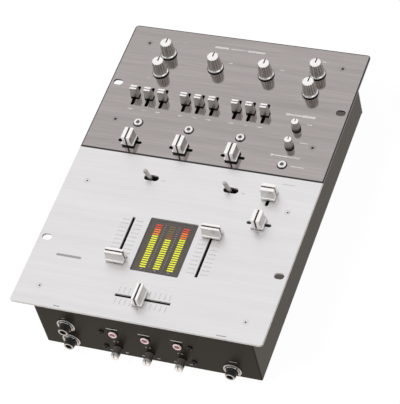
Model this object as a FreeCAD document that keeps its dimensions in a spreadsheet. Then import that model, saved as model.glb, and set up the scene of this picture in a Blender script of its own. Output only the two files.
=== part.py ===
import FreeCAD, Part
import os
import re
import Sketcher

# Driving dimensions in millimetres and degrees, grouped by the piece they size.
SIZES = {
    # Face plates in the ten-inch rack format, eight units deep, split in two at a seam.
    "plate_width": 254,
    "plate_depth": 355.6,
    "plate_thickness": 2,
    "plate_corner": 3.5,
    "plate_bevel": 0.5,
    "seam_y": 13.3,
    "seam_gap": 0.4,
    "rack_inset": 8.5,
    "rack_y": 100,
    "rack_slot_length": 10,
    "rack_slot_width": 7,
    # Folded steel case under the plates.
    "chassis_width": 222.4,
    "chassis_depth": 334.6,
    "chassis_height": 77,
    "sheet": 1.2,
    "bend_radius": 1.5,
    "flange": 11,
    "front_flange": 6,
    "rear_lip": 6,
    "foot_height": 8,
    "foot_radius": 10,
    "foot_taper": 1.5,
    "foot_inset": 24,
    "foot_recess": 4,
    "foot_recess_radius": 4.5,
    # Screws: countersunk on the plates, pan heads on the case.
    "screw_radius": 1.5,
    "screw_clearance": 0.2,
    "screw_length": 8,
    "sunk_head_radius": 3.1,
    "sunk_head_depth": 1.6,
    "pan_head_radius": 2.9,
    "pan_head_height": 1.8,
    "plate_screw_inset": 7.2,
    "plate_screw_rear": 155.8,
    "plate_screw_middle": 52.8,
    "plate_screw_lower": 27.4,
    "front_screw_x": 45.4,
    "rear_screw_inset": 5.5,
    "rear_screw_drop": 12,
    # Columns and rows of the controls on the plates.
    "channel_x": 29.8,
    "channel_pitch": 54.3,
    "side_x": 81,
    "knob_row_rear": 145,
    "knob_row_front": 120,
    "gain_row": 135,
    "small_row_rear": 73.6,
    "small_row_front": 50.7,
    "eq_row": 85.8,
    "eq_pitch": 15,
    "button_row": 52,
    "pan_row": 27.8,
    "side_button_row": 27,
    "toggle_x": 41.3,
    "toggle_row": 12,
    "line_x": 41.3,
    "line_row": 89,
    "cross_row": 151.1,
    "curve_row_rear": 11.4,
    "curve_row_front": 45.7,
    # Rows and columns of the front wall, rows measured up from the case's underside.
    "front_row": 11,
    "front_row_pitch": 24,
    "front_x": -1,
    "front_pitch": 33,
    "jack_x": 83,
    # Running and seating gaps.
    "running_gap": 0.35,
    "press_gap": 0.05,
    "hover": 0.6,
    # Large rotary knob and its control.
    "big_flange_radius": 8.5,
    "big_flange_height": 1.5,
    "big_body_radius": 7.3,
    "big_top_radius": 6,
    "big_height": 17.4,
    "big_flutes": 16,
    "big_flute_width": 0.9,
    "big_flute_depth": 0.7,
    "big_pointer": 0.9,
    "big_shaft_radius": 3,
    "big_shaft_in_knob": 11,
    # Small rotary knob on the rear plate.
    "small_flange_radius": 4.7,
    "small_flange_height": 1,
    "small_body_radius": 4.3,
    "small_top_radius": 3.8,
    "small_height": 11,
    "small_flutes": 12,
    "small_flute_width": 0.6,
    "small_flute_depth": 0.25,
    "small_pointer": 0.7,
    "small_shaft_radius": 2,
    "small_shaft_in_knob": 8,
    # Short rotary knob on the front wall.
    "front_flange_radius": 4.6,
    "front_flange_height": 1,
    "front_body_radius": 4.3,
    "front_top_radius": 4,
    "front_height": 11.8,
    "front_flutes": 12,
    "front_flute_width": 0.6,
    "front_flute_depth": 0.25,
    "front_pointer": 0.7,
    "front_shaft_radius": 2,
    "front_shaft_in_knob": 8,
    "knob_edge": 0.4,
    "pointer_depth": 0.4,
    # Rotary control body behind each knob.
    "rotary_width": 11,
    "rotary_height": 8,
    "rotary_bush_wall": 2,
    "rotary_bush_height": 5,
    "rotary_bore_depth": 8,
    # Short slide controls: three-band levers, pan and curve faders.
    "mini_travel": 20,
    "mini_slot_width": 3.6,
    "mini_body_length": 36,
    "mini_body_width": 9.5,
    "mini_body_height": 7,
    "tongue_width": 4,
    "tongue_thickness": 1.2,
    "tongue_in_body": 3,
    "tongue_in_cap": 5,
    "travel_end_gap": 0.5,
    "eq_cap_width": 7,
    "eq_cap_base": 6.4,
    "eq_cap_top": 5.2,
    "eq_cap_height": 13,
    "eq_groove_width": 0.9,
    "eq_groove_depth": 0.9,
    "small_cap_length": 14,
    "small_cap_base": 13,
    "small_cap_top": 9.2,
    "small_cap_height": 13.5,
    # Long faders: two channel faders and the crossfader.
    "long_travel": 45,
    "long_slot_width": 3,
    "long_slot_spare": 3.5,
    "long_body_length": 72,
    "long_body_width": 15,
    "long_body_height": 12,
    "cross_rest": 2.6,
    "long_cap_length": 18.6,
    "long_cap_base": 11,
    "long_cap_top": 6.6,
    "long_cap_height": 12.5,
    "cap_lip": 1.3,
    "cap_ledge": 0.8,
    "cap_shoulder": 1,
    "cap_scoop_radius": 17,
    "cap_line_width": 0.8,
    "cap_line_depth": 0.4,
    # Round push-buttons with a lamp in the middle.
    "button_radius": 4.5,
    "button_proud": 2.4,
    "button_skirt": 3,
    "button_edge": 0.5,
    "button_gap": 0.7,
    "button_travel": 1.5,
    "lens_radius": 2.2,
    "lens_depth": 1.4,
    "lens_sunk": 0.2,
    "stem_radius": 2,
    "stem_in_switch": 2.2,
    "switch_width": 8,
    "switch_height": 6,
    # Bat-lever toggle switches.
    "toggle_slot_length": 15.4,
    "toggle_slot_width": 7,
    "toggle_depth": 4,
    "toggle_lean": 19,
    "toggle_ball": 2.3,
    "toggle_neck": 1.7,
    "toggle_tip": 1.8,
    "toggle_length": 16,
    "toggle_body_length": 13,
    "toggle_body_width": 9,
    "toggle_body_drop": 1,
    "toggle_swing": 4,
    # Level meter window and its rows of lamps.
    "meter_width": 49,
    "meter_depth": 63,
    "meter_y": 89.5,
    "meter_corner": 1.5,
    "meter_fit": 0.15,
    "meter_sunk": 0.2,
    "meter_rim": 2.5,
    "meter_rim_height": 1.2,
    "lamp_columns": 14,
    "lamp_width": 6.4,
    "lamp_depth": 1.9,
    "lamp_pitch": 2.6,
    "lamp_drop": 0.4,
    # Circuit boards and the spacers that hold them.
    "board": 1.6,
    "board_drop": 15,
    "board_margin": 1.2,
    "control_board_rear": 153,
    "fader_board_front": 162,
    "board_seam_gap": 2,
    "spacer_radius": 3,
    "spacer_x": 94,
    "spacer_middle": 2.6,
    "spacer_rows_rear": 148,
    "spacer_rows_middle": 40,
    "spacer_fader_rear": 0.5,
    "spacer_fader_front": 150,
    "spacer_meter_rear": 30,
    "spacer_meter_front": 133,
    "front_board_gap": 13,
    "front_board_width": 116,
    "front_board_foot": 4,
    "front_board_height": 39,
    # Quarter-inch jack sockets.
    "jack_bore": 3.25,
    "jack_bore_length": 32,
    "jack_body_radius": 7.4,
    "jack_body_length": 28,
    "jack_barrel_radius": 5.9,
    "jack_tip_radius": 4.8,
    "jack_neck": 3,
    "jack_reach": 8.4,
    "jack_ring": 0.7,
    "nut_radius": 9.3,
    "nut_height": 2.6,
    "nut_edge": 0.6,
    # Rear panel: phono sockets, output jacks, mains inlet, power switch and earth screw,
    # in two rows at shares of the case's height.
    "rear_row_low": 0.28,
    "rear_row_high": 0.6,
    "phono_x": 27,
    "phono_pitch": 19.5,
    "phono_radius": 4.15,
    "phono_reach": 9.2,
    "phono_bore": 1.65,
    "phono_bore_length": 8,
    "phono_block_width": 12,
    "phono_block_depth": 12,
    "rear_board_width": 144,
    "rear_board_foot": 10,
    "rear_board_height": 48,
    "output_x": 50,
    "mains_x": 86,
    "inlet_width": 27,
    "inlet_height": 19.6,
    "inlet_depth": 18,
    "inlet_rim": 2,
    "inlet_rim_height": 2,
    "inlet_wall": 1.5,
    "inlet_recess": 16,
    "pin_width": 2,
    "pin_depth": 4,
    "pin_length": 10,
    "pin_spread": 7,
    "pin_offset": 2,
    "rocker_length": 15.2,
    "rocker_width": 9.6,
    "rocker_depth": 2,
    "rocker_crown": 2.8,
    "rocker_edge": 1.5,
    "rocker_keel": 4.5,
    "rocker_tilt": 7,
    "rocker_case_wall": 1.2,
    "rocker_case_depth": 12,
    "rocker_rim": 1.2,
    "rocker_rim_height": 1.2,
    "rocker_side_gap": 0.75,
    "earth_head_radius": 4.5,
    "earth_head_height": 7,
    "earth_shank": 1.9,
    "earth_length": 8,
    # Power supply on the floor of the case.
    "coil_radius": 30,
    "coil_hole": 9,
    "coil_height": 26,
    "coil_x": 52,
    "coil_y": 95,
    "supply_x": 48,
    "supply_y": 95,
    "supply_width": 84,
    "supply_depth": 70,
    "supply_post": 6,
    "supply_post_inset": 6,
    "capacitor_radius": 8,
    "capacitor_height": 24,
    "capacitor_pitch": 20,
    "sink_width": 50,
    "sink_depth": 12,
    "sink_height": 22,
    "sink_offset": 22,
}

# Heights that many pieces share, as sums of the driving dimensions.
FLOOR = "foot_height + sheet"
UNDER = "foot_height + chassis_height"
TOP = f"{UNDER} + plate_thickness"
PLATE_BOARD = "plate_thickness + board_drop"
FRONT_BOARD = "sheet + front_board_gap"
BOARD_TOP = f"{UNDER} - board_drop"
FRONT = "-(chassis_depth / 2)"
REAR = "chassis_depth / 2"
FRONT_LOWER = "foot_height + front_row"
FRONT_UPPER = f"{FRONT_LOWER} + front_row_pitch"
REAR_LOWER = "foot_height + chassis_height * rear_row_low"
REAR_UPPER = "foot_height + chassis_height * rear_row_high"
REAR_PITCH = "chassis_height * (rear_row_high - rear_row_low)"
REAR_MIDDLE = "foot_height + chassis_height * (rear_row_low + rear_row_high) / 2"
CHANNELS = [f"channel_x - {2 - index} * channel_pitch" for index in range(3)]
LAMP_ROWS = 20
LAMP_COLUMNS = 3
PHONO_COLUMNS = 7

UPRIGHT = FreeCAD.Rotation()
ACROSS = FreeCAD.Rotation(FreeCAD.Vector(0, 0, 1), 90)
TO_FRONT = FreeCAD.Rotation(FreeCAD.Vector(1, 0, 0), 90)
TO_REAR = FreeCAD.Rotation(FreeCAD.Vector(0, 0, 1), 180).multiply(TO_FRONT)
LEAN_LEFT = FreeCAD.Rotation(FreeCAD.Vector(0, -1, 0), SIZES["toggle_lean"])
TIP_OVER = FreeCAD.Rotation(FreeCAD.Vector(0, 1, 0), SIZES["rocker_tilt"])

doc = FreeCAD.newDocument("mixer")
table = doc.addObject("Spreadsheet::Sheet", "Sizes")
for row, (alias, value) in enumerate(SIZES.items(), 1):
    table.set(f"A{row}", alias)
    table.set(f"B{row}", str(value))
    table.setAlias(f"B{row}", alias)
doc.recompute()

sub_parts = []


def expr(text):
    """Refer each size named in a formula to its cell."""
    return re.sub(r"[a-z]\w*", r"Sizes.\g<0>", text)


def place(item, x="0", y="0", z="0", turn=UPRIGHT):
    item.Placement = FreeCAD.Placement(FreeCAD.Vector(), turn)
    for axis, text in zip("xyz", (x, y, z)):
        item.setExpression(f"Placement.Base.{axis}", expr(text))
    return item


def primitive(kind, name, x="0", y="0", z="0", **sizes):
    item = doc.addObject(f"Part::{kind}", name)
    for size, text in sizes.items():
        item.setExpression(size, expr(text))
    return place(item, x, y, z)


def block(name, length, width, bottom, top, x="0", y="0"):
    """A box centred on x and y between two heights."""
    corner_x = f"{x} - ({length}) / 2"
    corner_y = f"{y} - ({width}) / 2"
    height = f"{top} - ({bottom})"
    return primitive("Box", name, corner_x, corner_y, bottom, Length=length, Width=width, Height=height)


def rod(name, radius, bottom, top, x="0", y="0"):
    """An upright cylinder between two heights."""
    return primitive("Cylinder", name, x, y, bottom, Radius=radius, Height=f"{top} - ({bottom})")


def fuse(name, *pieces):
    item = doc.addObject("Part::MultiFuse", name)
    item.Shapes = list(pieces)
    return item


def cut(name, base, tool):
    item = doc.addObject("Part::Cut", name)
    item.Base = base
    item.Tool = tool
    return item


def sub_part(label, pieces, x="0", y="0", z="0", turn=UPRIGHT):
    """One node: the pieces of a form, set down at a place."""
    item = doc.addObject("Part::Compound", label)
    item.Label = label
    item.Links = pieces
    place(item, x, y, z, turn)
    sub_parts.append(item)
    return item


def copy_of(form, x="0", y="0", z="0", turn=UPRIGHT):
    item = doc.addObject("App::Link", f"{form.Name}Copy")
    item.LinkedObject = form
    item.LinkTransform = True
    return place(item, x, y, z, turn)


def new_body(label):
    body = doc.addObject("PartDesign::Body", label)
    body.Label = label
    return body


def node_body(label):
    """A body that is a node by itself."""
    body = new_body(label)
    sub_parts.append(body)
    return body


def sketch_on(body, plane, offset="0"):
    """A sketch on one of the body's own planes, moved along the plane's normal."""
    sketch = body.newObject("Sketcher::SketchObject", f"{body.Name}Sketch")
    support = next(item for item in body.Origin.OriginFeatures if item.Role == plane)
    sketch.AttachmentSupport = [(support, "")]
    sketch.MapMode = "FlatFace"
    sketch.setExpression("AttachmentOffset.Base.z", expr(offset))
    return sketch


def constrain(sketch, kind, geometry, text, start):
    index = sketch.addConstraint(Sketcher.Constraint(kind, *geometry, start))
    sketch.setExpression(f"Constraints[{index}]", expr(text))


def pin_point(sketch, geometry, vertex, x, y, start):
    """Hold a vertex at its distance from the sketch's origin each way."""
    constrain(sketch, "DistanceX", (-1, 1, geometry, vertex), x, start.x)
    constrain(sketch, "DistanceY", (-1, 1, geometry, vertex), y, start.y)


def outline(sketch, points, drawn, bows=None):
    """Join sides through the points, first drawn roughly; bows gives the sides that are arcs."""
    first = sketch.GeometryCount
    for index, here in enumerate(drawn):
        there = drawn[(index + 1) % len(drawn)]
        if bows and index in bows:
            side = Part.Arc(here, (here + there) / 2 + bows[index], there)
        else:
            side = Part.LineSegment(here, there)
        sketch.addGeometry(side, False)
    for index, (x, y) in enumerate(points):
        following = first + (index + 1) % len(points)
        sketch.addConstraint(Sketcher.Constraint("Coincident", first + index, 2, following, 1))
        pin_point(sketch, first + index, 1, x, y, drawn[index])


def polygon(sketch, points):
    drawn = [FreeCAD.Vector(10 + index, index * index, 0) for index in range(len(points))]
    outline(sketch, points, drawn)


def rectangle(sketch, length, width, x="0", y="0"):
    left = f"{x} - ({length}) / 2"
    right = f"{x} + ({length}) / 2"
    low = f"{y} - ({width}) / 2"
    high = f"{y} + ({width}) / 2"
    polygon(sketch, [(left, low), (right, low), (right, high), (left, high)])


def circle(sketch, radius, x="0", y="0"):
    start = FreeCAD.Vector(1, 1, 0)
    index = sketch.addGeometry(Part.Circle(start, FreeCAD.Vector(0, 0, 1), 1), False)
    pin_point(sketch, index, 3, x, y, start)
    constrain(sketch, "Radius", (index,), radius, 1.0)


def slot(sketch, length, width, x="0", y="0", along="x"):
    """A slot with round ends, longest along x or y."""
    first = sketch.GeometryCount
    step = FreeCAD.Vector(5, 0, 0) if along == "x" else FreeCAD.Vector(0, 5, 0)
    side = FreeCAD.Vector(0, 2, 0) if along == "x" else FreeCAD.Vector(-2, 0, 0)
    for way in (1, -1):
        end = Part.Arc(step * way - side * way, step * way * 1.4, step * way + side * way)
        sketch.addGeometry(end, False)
    sketch.addGeometry(Part.LineSegment(step + side, side - step), False)
    sketch.addGeometry(Part.LineSegment(-step - side, step - side), False)
    for one, one_end, other, other_end in ((0, 2, 2, 1), (2, 2, 1, 1), (1, 2, 3, 1), (3, 2, 0, 1)):
        tangent = Sketcher.Constraint("Tangent", first + one, one_end, first + other, other_end)
        sketch.addConstraint(tangent)
    for index, sign in enumerate("+-"):
        reach = f" {sign} ({length} - ({width})) / 2"
        centre = (x + reach, y) if along == "x" else (x, y + reach)
        pin_point(sketch, first + index, 3, *centre, step if sign == "+" else -step)
        constrain(sketch, "Radius", (first + index,), f"({width}) / 2", 2.0)


def feature(body, kind, profile):
    item = body.newObject(f"PartDesign::{kind}", f"{body.Name}{kind}")
    item.Profile = profile
    body.Tip = item
    return item


def pad(body, sketch, length, middle=False):
    item = feature(body, "Pad", sketch)
    item.SideType = "Symmetric" if middle else "One side"
    item.setExpression("Length", expr(length))
    return item


def pocket(body, sketch, depth=None, ahead=False):
    """Cut from the sketch, against its normal or ahead along it; through everything with no depth."""
    item = feature(body, "Pocket", sketch)
    item.Reversed = ahead
    if depth:
        item.setExpression("Length", expr(depth))
    else:
        item.Type = "ThroughAll"
    return item


def turned(body, points):
    """A turned piece: points give radius and height round the outline."""
    sketch = sketch_on(body, "XZ_Plane")
    polygon(sketch, points)
    item = feature(body, "Revolution", sketch)
    item.ReferenceAxis = (sketch, ["V_Axis"])
    item.Angle = 360
    return item


def edges_where(item, test):
    return [f"Edge{number}" for number, edge in enumerate(item.Shape.Edges, 1) if test(edge.BoundBox)]


def dress(body, kind, base, names, size, text):
    """Round or bevel the named edges or faces of a feature."""
    item = body.newObject(f"PartDesign::{kind}", f"{body.Name}{kind}")
    item.Base = (base, names)
    item.setExpression(size, expr(text))
    body.Tip = item
    doc.recompute()
    return item


def upright(box):
    return box.ZLength > 1e-3 and box.XLength + box.YLength < 1e-3


def flat_top(item):
    faces = item.Shape.Faces
    highest = max(range(len(faces)), key=lambda index: faces[index].CenterOfMass.z)
    return f"Face{highest + 1}"


# Face plates
def face_plate(label, low, high, outer_side):
    """A plate between two depths, with its two outer corners rounded and its top edge bevelled."""
    body = node_body(label)
    sketch = sketch_on(body, "XY_Plane", UNDER)
    rectangle(sketch, "plate_width", f"{high} - ({low})", y=f"({high} + {low}) / 2")
    blank = pad(body, sketch, "plate_thickness")
    doc.recompute()
    middle = blank.Shape.CenterOfMass.y
    corners = edges_where(blank, lambda box: upright(box) and (box.YMin - middle) * outer_side > 0)
    rounded = dress(body, "Fillet", blank, corners, "Radius", "plate_corner")
    dress(body, "Chamfer", rounded, [flat_top(rounded)], "Size", "plate_bevel")
    rack = sketch_on(body, "XY_Plane", TOP)
    for x in ("plate_width / 2 - rack_inset", "rack_inset - plate_width / 2"):
        slot(rack, "rack_slot_length", "rack_slot_width", x, f"{outer_side} * rack_y")
    pocket(body, rack)
    return body


def sink_screws(body, rows):
    """Countersunk holes along both sides of a plate."""
    sketch = sketch_on(body, "XY_Plane", TOP)
    for x, y in plate_screw_places(rows):
        circle(sketch, "screw_radius + screw_clearance", x, y)
    doc.recompute()
    hole = feature(body, "Hole", sketch)
    hole.DepthType = "ThroughAll"
    hole.setExpression("Diameter", expr("2 * (screw_radius + screw_clearance)"))
    hole.HoleCutType = "Countersink"
    hole.HoleCutCustomValues = True
    hole.setExpression("HoleCutDiameter", expr("2 * (sunk_head_radius + screw_clearance)"))
    hole.HoleCutCountersinkAngle = 90


def plate_screw_places(rows):
    sides = ("chassis_width / 2 - plate_screw_inset", "plate_screw_inset - chassis_width / 2")
    return [(x, y) for x in sides for y in rows]


MINI_SLOT = "mini_travel + tongue_width + 2 * travel_end_gap"
LONG_SLOT = "long_travel + tongue_width + 2 * long_slot_spare"
REAR_SCREW_ROWS = ("plate_screw_rear", "plate_screw_middle")
FRONT_SCREW_ROWS = ("-plate_screw_lower", "-plate_screw_rear")


def eq_places():
    return [(f"{channel} + {band - 1} * eq_pitch", "eq_row") for channel in CHANNELS for band in range(3)]


def big_knob_places():
    first, second, third = CHANNELS
    return {
        "mic_knob": (first, "knob_row_rear"),
        "gain_knob_1": (first, "knob_row_front"),
        "gain_knob_2": (second, "gain_row"),
        "gain_knob_3": (third, "gain_row"),
        "master_knob": ("side_x", "knob_row_rear"),
        "booth_knob": ("side_x", "knob_row_front"),
    }


SMALL_KNOBS = {
    "phones_level_knob": ("side_x", "small_row_rear"),
    "phones_mix_knob": ("side_x", "small_row_front"),
}
PAN_FADERS = {f"pan_fader_{index}": (channel, "pan_row") for index, channel in enumerate(CHANNELS, 1)}
PLATE_BUTTONS = {f"cue_button_{index}": (x, "button_row") for index, x in enumerate(CHANNELS, 1)}
PLATE_BUTTONS["effect_button"] = ("side_x", "side_button_row")
TOGGLES = {
    "input_toggle_left": ("-toggle_x", "-toggle_row"),
    "input_toggle_right": ("toggle_x", "-toggle_row"),
}
FRONT_COLUMNS = {"left": "front_x - front_pitch", "middle": "front_x", "right": "front_x + front_pitch"}
FRONT_JACKS = [("-jack_x", FRONT_UPPER), ("-jack_x", FRONT_LOWER), ("jack_x", FRONT_LOWER)]


def rear_plate():
    body = face_plate("rear_plate", "seam_y + seam_gap / 2", "plate_depth / 2", 1)
    holes = sketch_on(body, "XY_Plane", TOP)
    for x, y in big_knob_places().values():
        circle(holes, "big_shaft_radius + button_gap", x, y)
    for x, y in SMALL_KNOBS.values():
        circle(holes, "small_shaft_radius + button_gap", x, y)
    for x, y in PLATE_BUTTONS.values():
        circle(holes, "button_radius + button_gap", x, y)
    pocket(body, holes)
    slots = sketch_on(body, "XY_Plane", TOP)
    for x, y in eq_places():
        slot(slots, MINI_SLOT, "mini_slot_width", x, y, "y")
    for x, y in PAN_FADERS.values():
        slot(slots, MINI_SLOT, "mini_slot_width", x, y)
    pocket(body, slots)
    sink_screws(body, REAR_SCREW_ROWS)


def front_plate():
    body = face_plate("front_plate", "-(plate_depth / 2)", "seam_y - seam_gap / 2", -1)
    window = sketch_on(body, "XY_Plane", TOP)
    rectangle(window, "meter_width", "meter_depth", y="-meter_y")
    opened = pocket(body, window)
    doc.recompute()
    inner = SIZES["plate_width"] / 4
    corners = edges_where(opened, lambda box: upright(box) and abs(box.XMin) < inner)
    dress(body, "Fillet", opened, corners, "Radius", "meter_corner")
    slots = sketch_on(body, "XY_Plane", TOP)
    for x, y in TOGGLES.values():
        slot(slots, "toggle_slot_length", "toggle_slot_width", x, y)
    slot(slots, MINI_SLOT, "mini_slot_width", "side_x", "-curve_row_rear", "y")
    slot(slots, MINI_SLOT, "mini_slot_width", "side_x", "-curve_row_front")
    for x in ("line_x", "-line_x"):
        rectangle(slots, "long_slot_width", LONG_SLOT, x, "-line_row")
    rectangle(slots, LONG_SLOT, "long_slot_width", "0", "-cross_row")
    pocket(body, slots)
    sink_screws(body, FRONT_SCREW_ROWS)


# Steel case
def chassis_tray():
    """Floor, front and side walls folded from one sheet, with flanges for the plates and the rear panel."""
    body = node_body("chassis_tray")
    length = "chassis_depth - sheet"
    sketch = sketch_on(body, "XY_Plane", "foot_height")
    rectangle(sketch, "chassis_width", length, y="-sheet / 2")
    blank = pad(body, sketch, "chassis_height")
    doc.recompute()
    extent = blank.Shape.BoundBox

    def folded(box):
        at_front = box.YMax < extent.YMin + 1e-3
        at_floor = box.ZMax < extent.ZMin + 1e-3
        return (at_front and upright(box)) or (at_floor and box.YMin < extent.YMax - 1e-3)

    dress(body, "Fillet", blank, edges_where(blank, folded), "Radius", "bend_radius")
    inside = sketch_on(body, "XZ_Plane", "2 * sheet - chassis_depth / 2")
    inner_height = "chassis_height - 2 * sheet"
    rectangle(inside, "chassis_width - 2 * sheet", inner_height, y="foot_height + chassis_height / 2")
    pocket(body, inside, "chassis_depth - 3 * sheet", ahead=True)
    mouth = sketch_on(body, "XY_Plane", UNDER)
    mouth_depth = "chassis_depth - 2 * sheet - front_flange"
    rectangle(mouth, "chassis_width - 2 * flange", mouth_depth, y="front_flange / 2 - sheet")
    pocket(body, mouth, "sheet + running_gap")
    back = sketch_on(body, "XZ_Plane", "sheet - chassis_depth / 2")
    rectangle(back, "chassis_width - 2 * flange", "chassis_height - rear_lip",
              y="foot_height + chassis_height / 2 + rear_lip / 2")
    pocket(body, back, "sheet + running_gap", ahead=True)
    front_wall_holes(body)
    seat = sketch_on(body, "XY_Plane", UNDER)
    for x, y in plate_screw_places(REAR_SCREW_ROWS + FRONT_SCREW_ROWS):
        circle(seat, "screw_radius + screw_clearance", x, y)
    pocket(body, seat, "sheet + running_gap")
    tabs = sketch_on(body, "XZ_Plane", "sheet - chassis_depth / 2")
    for x, z in rear_screw_places():
        circle(tabs, "screw_radius + screw_clearance", x, z)
    pocket(body, tabs, "sheet + running_gap", ahead=True)
    floor = sketch_on(body, "XY_Plane", "foot_height")
    for x, y in foot_places():
        circle(floor, "screw_radius + screw_clearance", x, y)
    pocket(body, floor, "sheet + running_gap", ahead=True)


def front_wall_holes(body):
    sketch = sketch_on(body, "XZ_Plane", "chassis_depth / 2")
    for x, z in FRONT_JACKS:
        circle(sketch, "jack_barrel_radius + screw_clearance", x, z)
    for x in FRONT_COLUMNS.values():
        circle(sketch, "button_radius + button_gap", x, FRONT_UPPER)
        circle(sketch, "front_shaft_radius + button_gap", x, FRONT_LOWER)
    for x, z in front_screw_places():
        circle(sketch, "screw_radius + screw_clearance", x, z)
    pocket(body, sketch, "sheet + running_gap")


def front_screw_places():
    columns = ("front_x - front_screw_x", "front_x + front_screw_x")
    return [(x, z) for x in columns for z in (FRONT_LOWER, FRONT_UPPER)]


def rear_screw_places():
    sides = ("chassis_width / 2 - rear_screw_inset", "rear_screw_inset - chassis_width / 2")
    rows = ("foot_height + rear_screw_drop", f"{UNDER} - rear_screw_drop")
    return [(x, z) for x in sides for z in rows]


def foot_places():
    sides = ("chassis_width / 2 - foot_inset", "foot_inset - chassis_width / 2")
    rows = ("chassis_depth / 2 - foot_inset", "foot_inset - chassis_depth / 2")
    return [(x, y) for x in sides for y in rows]


def phono_places():
    columns = [f"phono_x - {index} * phono_pitch" for index in range(PHONO_COLUMNS)]
    return [(x, z) for x in columns for z in (REAR_LOWER, REAR_UPPER)]


EARTH = ("phono_x - 1.5 * phono_pitch", REAR_MIDDLE)
REAR_JACKS = [("output_x", REAR_LOWER), ("output_x", REAR_UPPER)]
ROCKER_CASE_LENGTH = "rocker_length + 2 * (rocker_case_wall + rocker_side_gap)"
ROCKER_CASE_WIDTH = "rocker_width + 2 * (rocker_case_wall + rocker_side_gap)"


def rear_panel():
    body = node_body("rear_panel")
    face = "-(chassis_depth / 2)"
    sketch = sketch_on(body, "XZ_Plane", face)
    rectangle(sketch, "chassis_width", "chassis_height", y="foot_height + chassis_height / 2")
    pad(body, sketch, "sheet")
    holes = sketch_on(body, "XZ_Plane", face)
    for x, z in phono_places():
        circle(holes, "phono_radius + screw_clearance", x, z)
    for x, z in REAR_JACKS:
        circle(holes, "jack_barrel_radius + screw_clearance", x, z)
    for x, z in rear_screw_places():
        circle(holes, "screw_radius + screw_clearance", x, z)
    circle(holes, "earth_shank + running_gap", *EARTH)
    pocket(body, holes, "sheet", ahead=True)
    cutouts = sketch_on(body, "XZ_Plane", face)
    fit = "2 * screw_clearance"
    rectangle(cutouts, f"inlet_width + {fit}", f"inlet_height + {fit}", "mains_x", REAR_LOWER)
    rocker_length, rocker_width = f"{ROCKER_CASE_LENGTH} + {fit}", f"{ROCKER_CASE_WIDTH} + {fit}"
    rectangle(cutouts, rocker_length, rocker_width, "mains_x", REAR_UPPER)
    pocket(body, cutouts, "sheet", ahead=True)


def feet():
    form = new_body("foot_form")
    turned(form, [
        ("foot_recess_radius", "0"),
        ("foot_radius - foot_taper", "0"),
        ("foot_radius", "foot_height"),
        ("screw_radius + screw_clearance", "foot_height"),
        ("screw_radius + screw_clearance", "foot_recess"),
        ("foot_recess_radius", "foot_recess"),
    ])
    sub_part("feet", [copy_of(form, x, y) for x, y in foot_places()])


def screws():
    sunk = new_body("sunk_screw_form")
    face = "-screw_clearance / 2"
    turned(sunk, [
        ("0", "-screw_length"),
        ("screw_radius", "-screw_length"),
        ("screw_radius", f"{face} - sunk_head_depth"),
        ("sunk_head_radius", face),
        ("0", face),
    ])
    rows = REAR_SCREW_ROWS + FRONT_SCREW_ROWS
    sub_part("plate_screws", [copy_of(sunk, x, y, TOP) for x, y in plate_screw_places(rows)])
    pan = new_body("pan_screw_form")
    turned(pan, [
        ("0", "-screw_length"),
        ("screw_radius", "-screw_length"),
        ("screw_radius", "0"),
        ("pan_head_radius", "0"),
        ("pan_head_radius", "pan_head_height / 2"),
        ("pan_head_radius - pan_head_height / 2", "pan_head_height"),
        ("0", "pan_head_height"),
    ])
    heads_down = FreeCAD.Rotation(FreeCAD.Vector(1, 0, 0), 180)
    front = [copy_of(pan, x, FRONT, z, TO_FRONT) for x, z in front_screw_places()]
    rear = [copy_of(pan, x, REAR, z, TO_REAR) for x, z in rear_screw_places()]
    under = [copy_of(pan, x, y, "foot_recess", heads_down) for x, y in foot_places()]
    sub_part("case_screws", front + rear + under)


# Rotary controls
def knob_form(prefix):
    """A tapered knob with a foot flange, flutes that follow the taper and a pointer line on top."""
    body = new_body(f"{prefix}_knob_form")
    bore = f"{prefix}_shaft_radius + press_gap"
    bore_top = f"{prefix}_shaft_in_knob"
    shoulder = f"hover + {prefix}_flange_height"
    height = f"{prefix}_height"
    top_radius = f"{prefix}_top_radius"
    turned(body, [
        (bore, "hover"),
        (f"{prefix}_flange_radius", "hover"),
        (f"{prefix}_flange_radius", shoulder),
        (f"{prefix}_body_radius", shoulder),
        (top_radius, f"{height} - knob_edge"),
        (f"{top_radius} - knob_edge", height),
        ("0", height),
        ("0", bore_top),
        (bore, bore_top),
    ])
    low = sketch_on(body, "XY_Plane", shoulder)
    draw_flute(low, prefix, f"{prefix}_body_radius")
    high = sketch_on(body, "XY_Plane", height)
    draw_flute(high, prefix, top_radius)
    doc.recompute()
    flute = feature(body, "SubtractiveLoft", low)
    flute.Sections = [high]
    flute.Ruled = True
    doc.recompute()
    flutes = body.newObject("PartDesign::PolarPattern", f"{body.Name}Flutes")
    flutes.Originals = [flute]
    axis = next(item for item in body.Origin.OriginFeatures if item.Role == "Z_Axis")
    flutes.Axis = (axis, [""])
    flutes.Angle = 360
    flutes.setExpression("Occurrences", expr(f"{prefix}_flutes"))
    body.Tip = flutes
    doc.recompute()
    pointer = sketch_on(body, "XY_Plane", height)
    rectangle(pointer, f"{prefix}_pointer", top_radius, y=f"{top_radius} / 2")
    pocket(body, pointer, "pointer_depth")
    return body


def draw_flute(sketch, prefix, radius):
    """A notch that opens outwards, deepest at its middle."""
    spread = f"{prefix}_flute_width"
    depth = f"{prefix}_flute_depth"
    polygon(sketch, [
        (f"{radius} - {depth}", "0"),
        (f"{radius} + {depth}", f"-{spread}"),
        (f"{radius} + {depth}", spread),
    ])


def shaft_form(prefix, depth):
    end = f"rotary_height + rotary_bush_height - rotary_bore_depth + running_gap - ({depth})"
    return rod(f"{prefix}_shaft", f"{prefix}_shaft_radius", end, f"{prefix}_shaft_in_knob")


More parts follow.
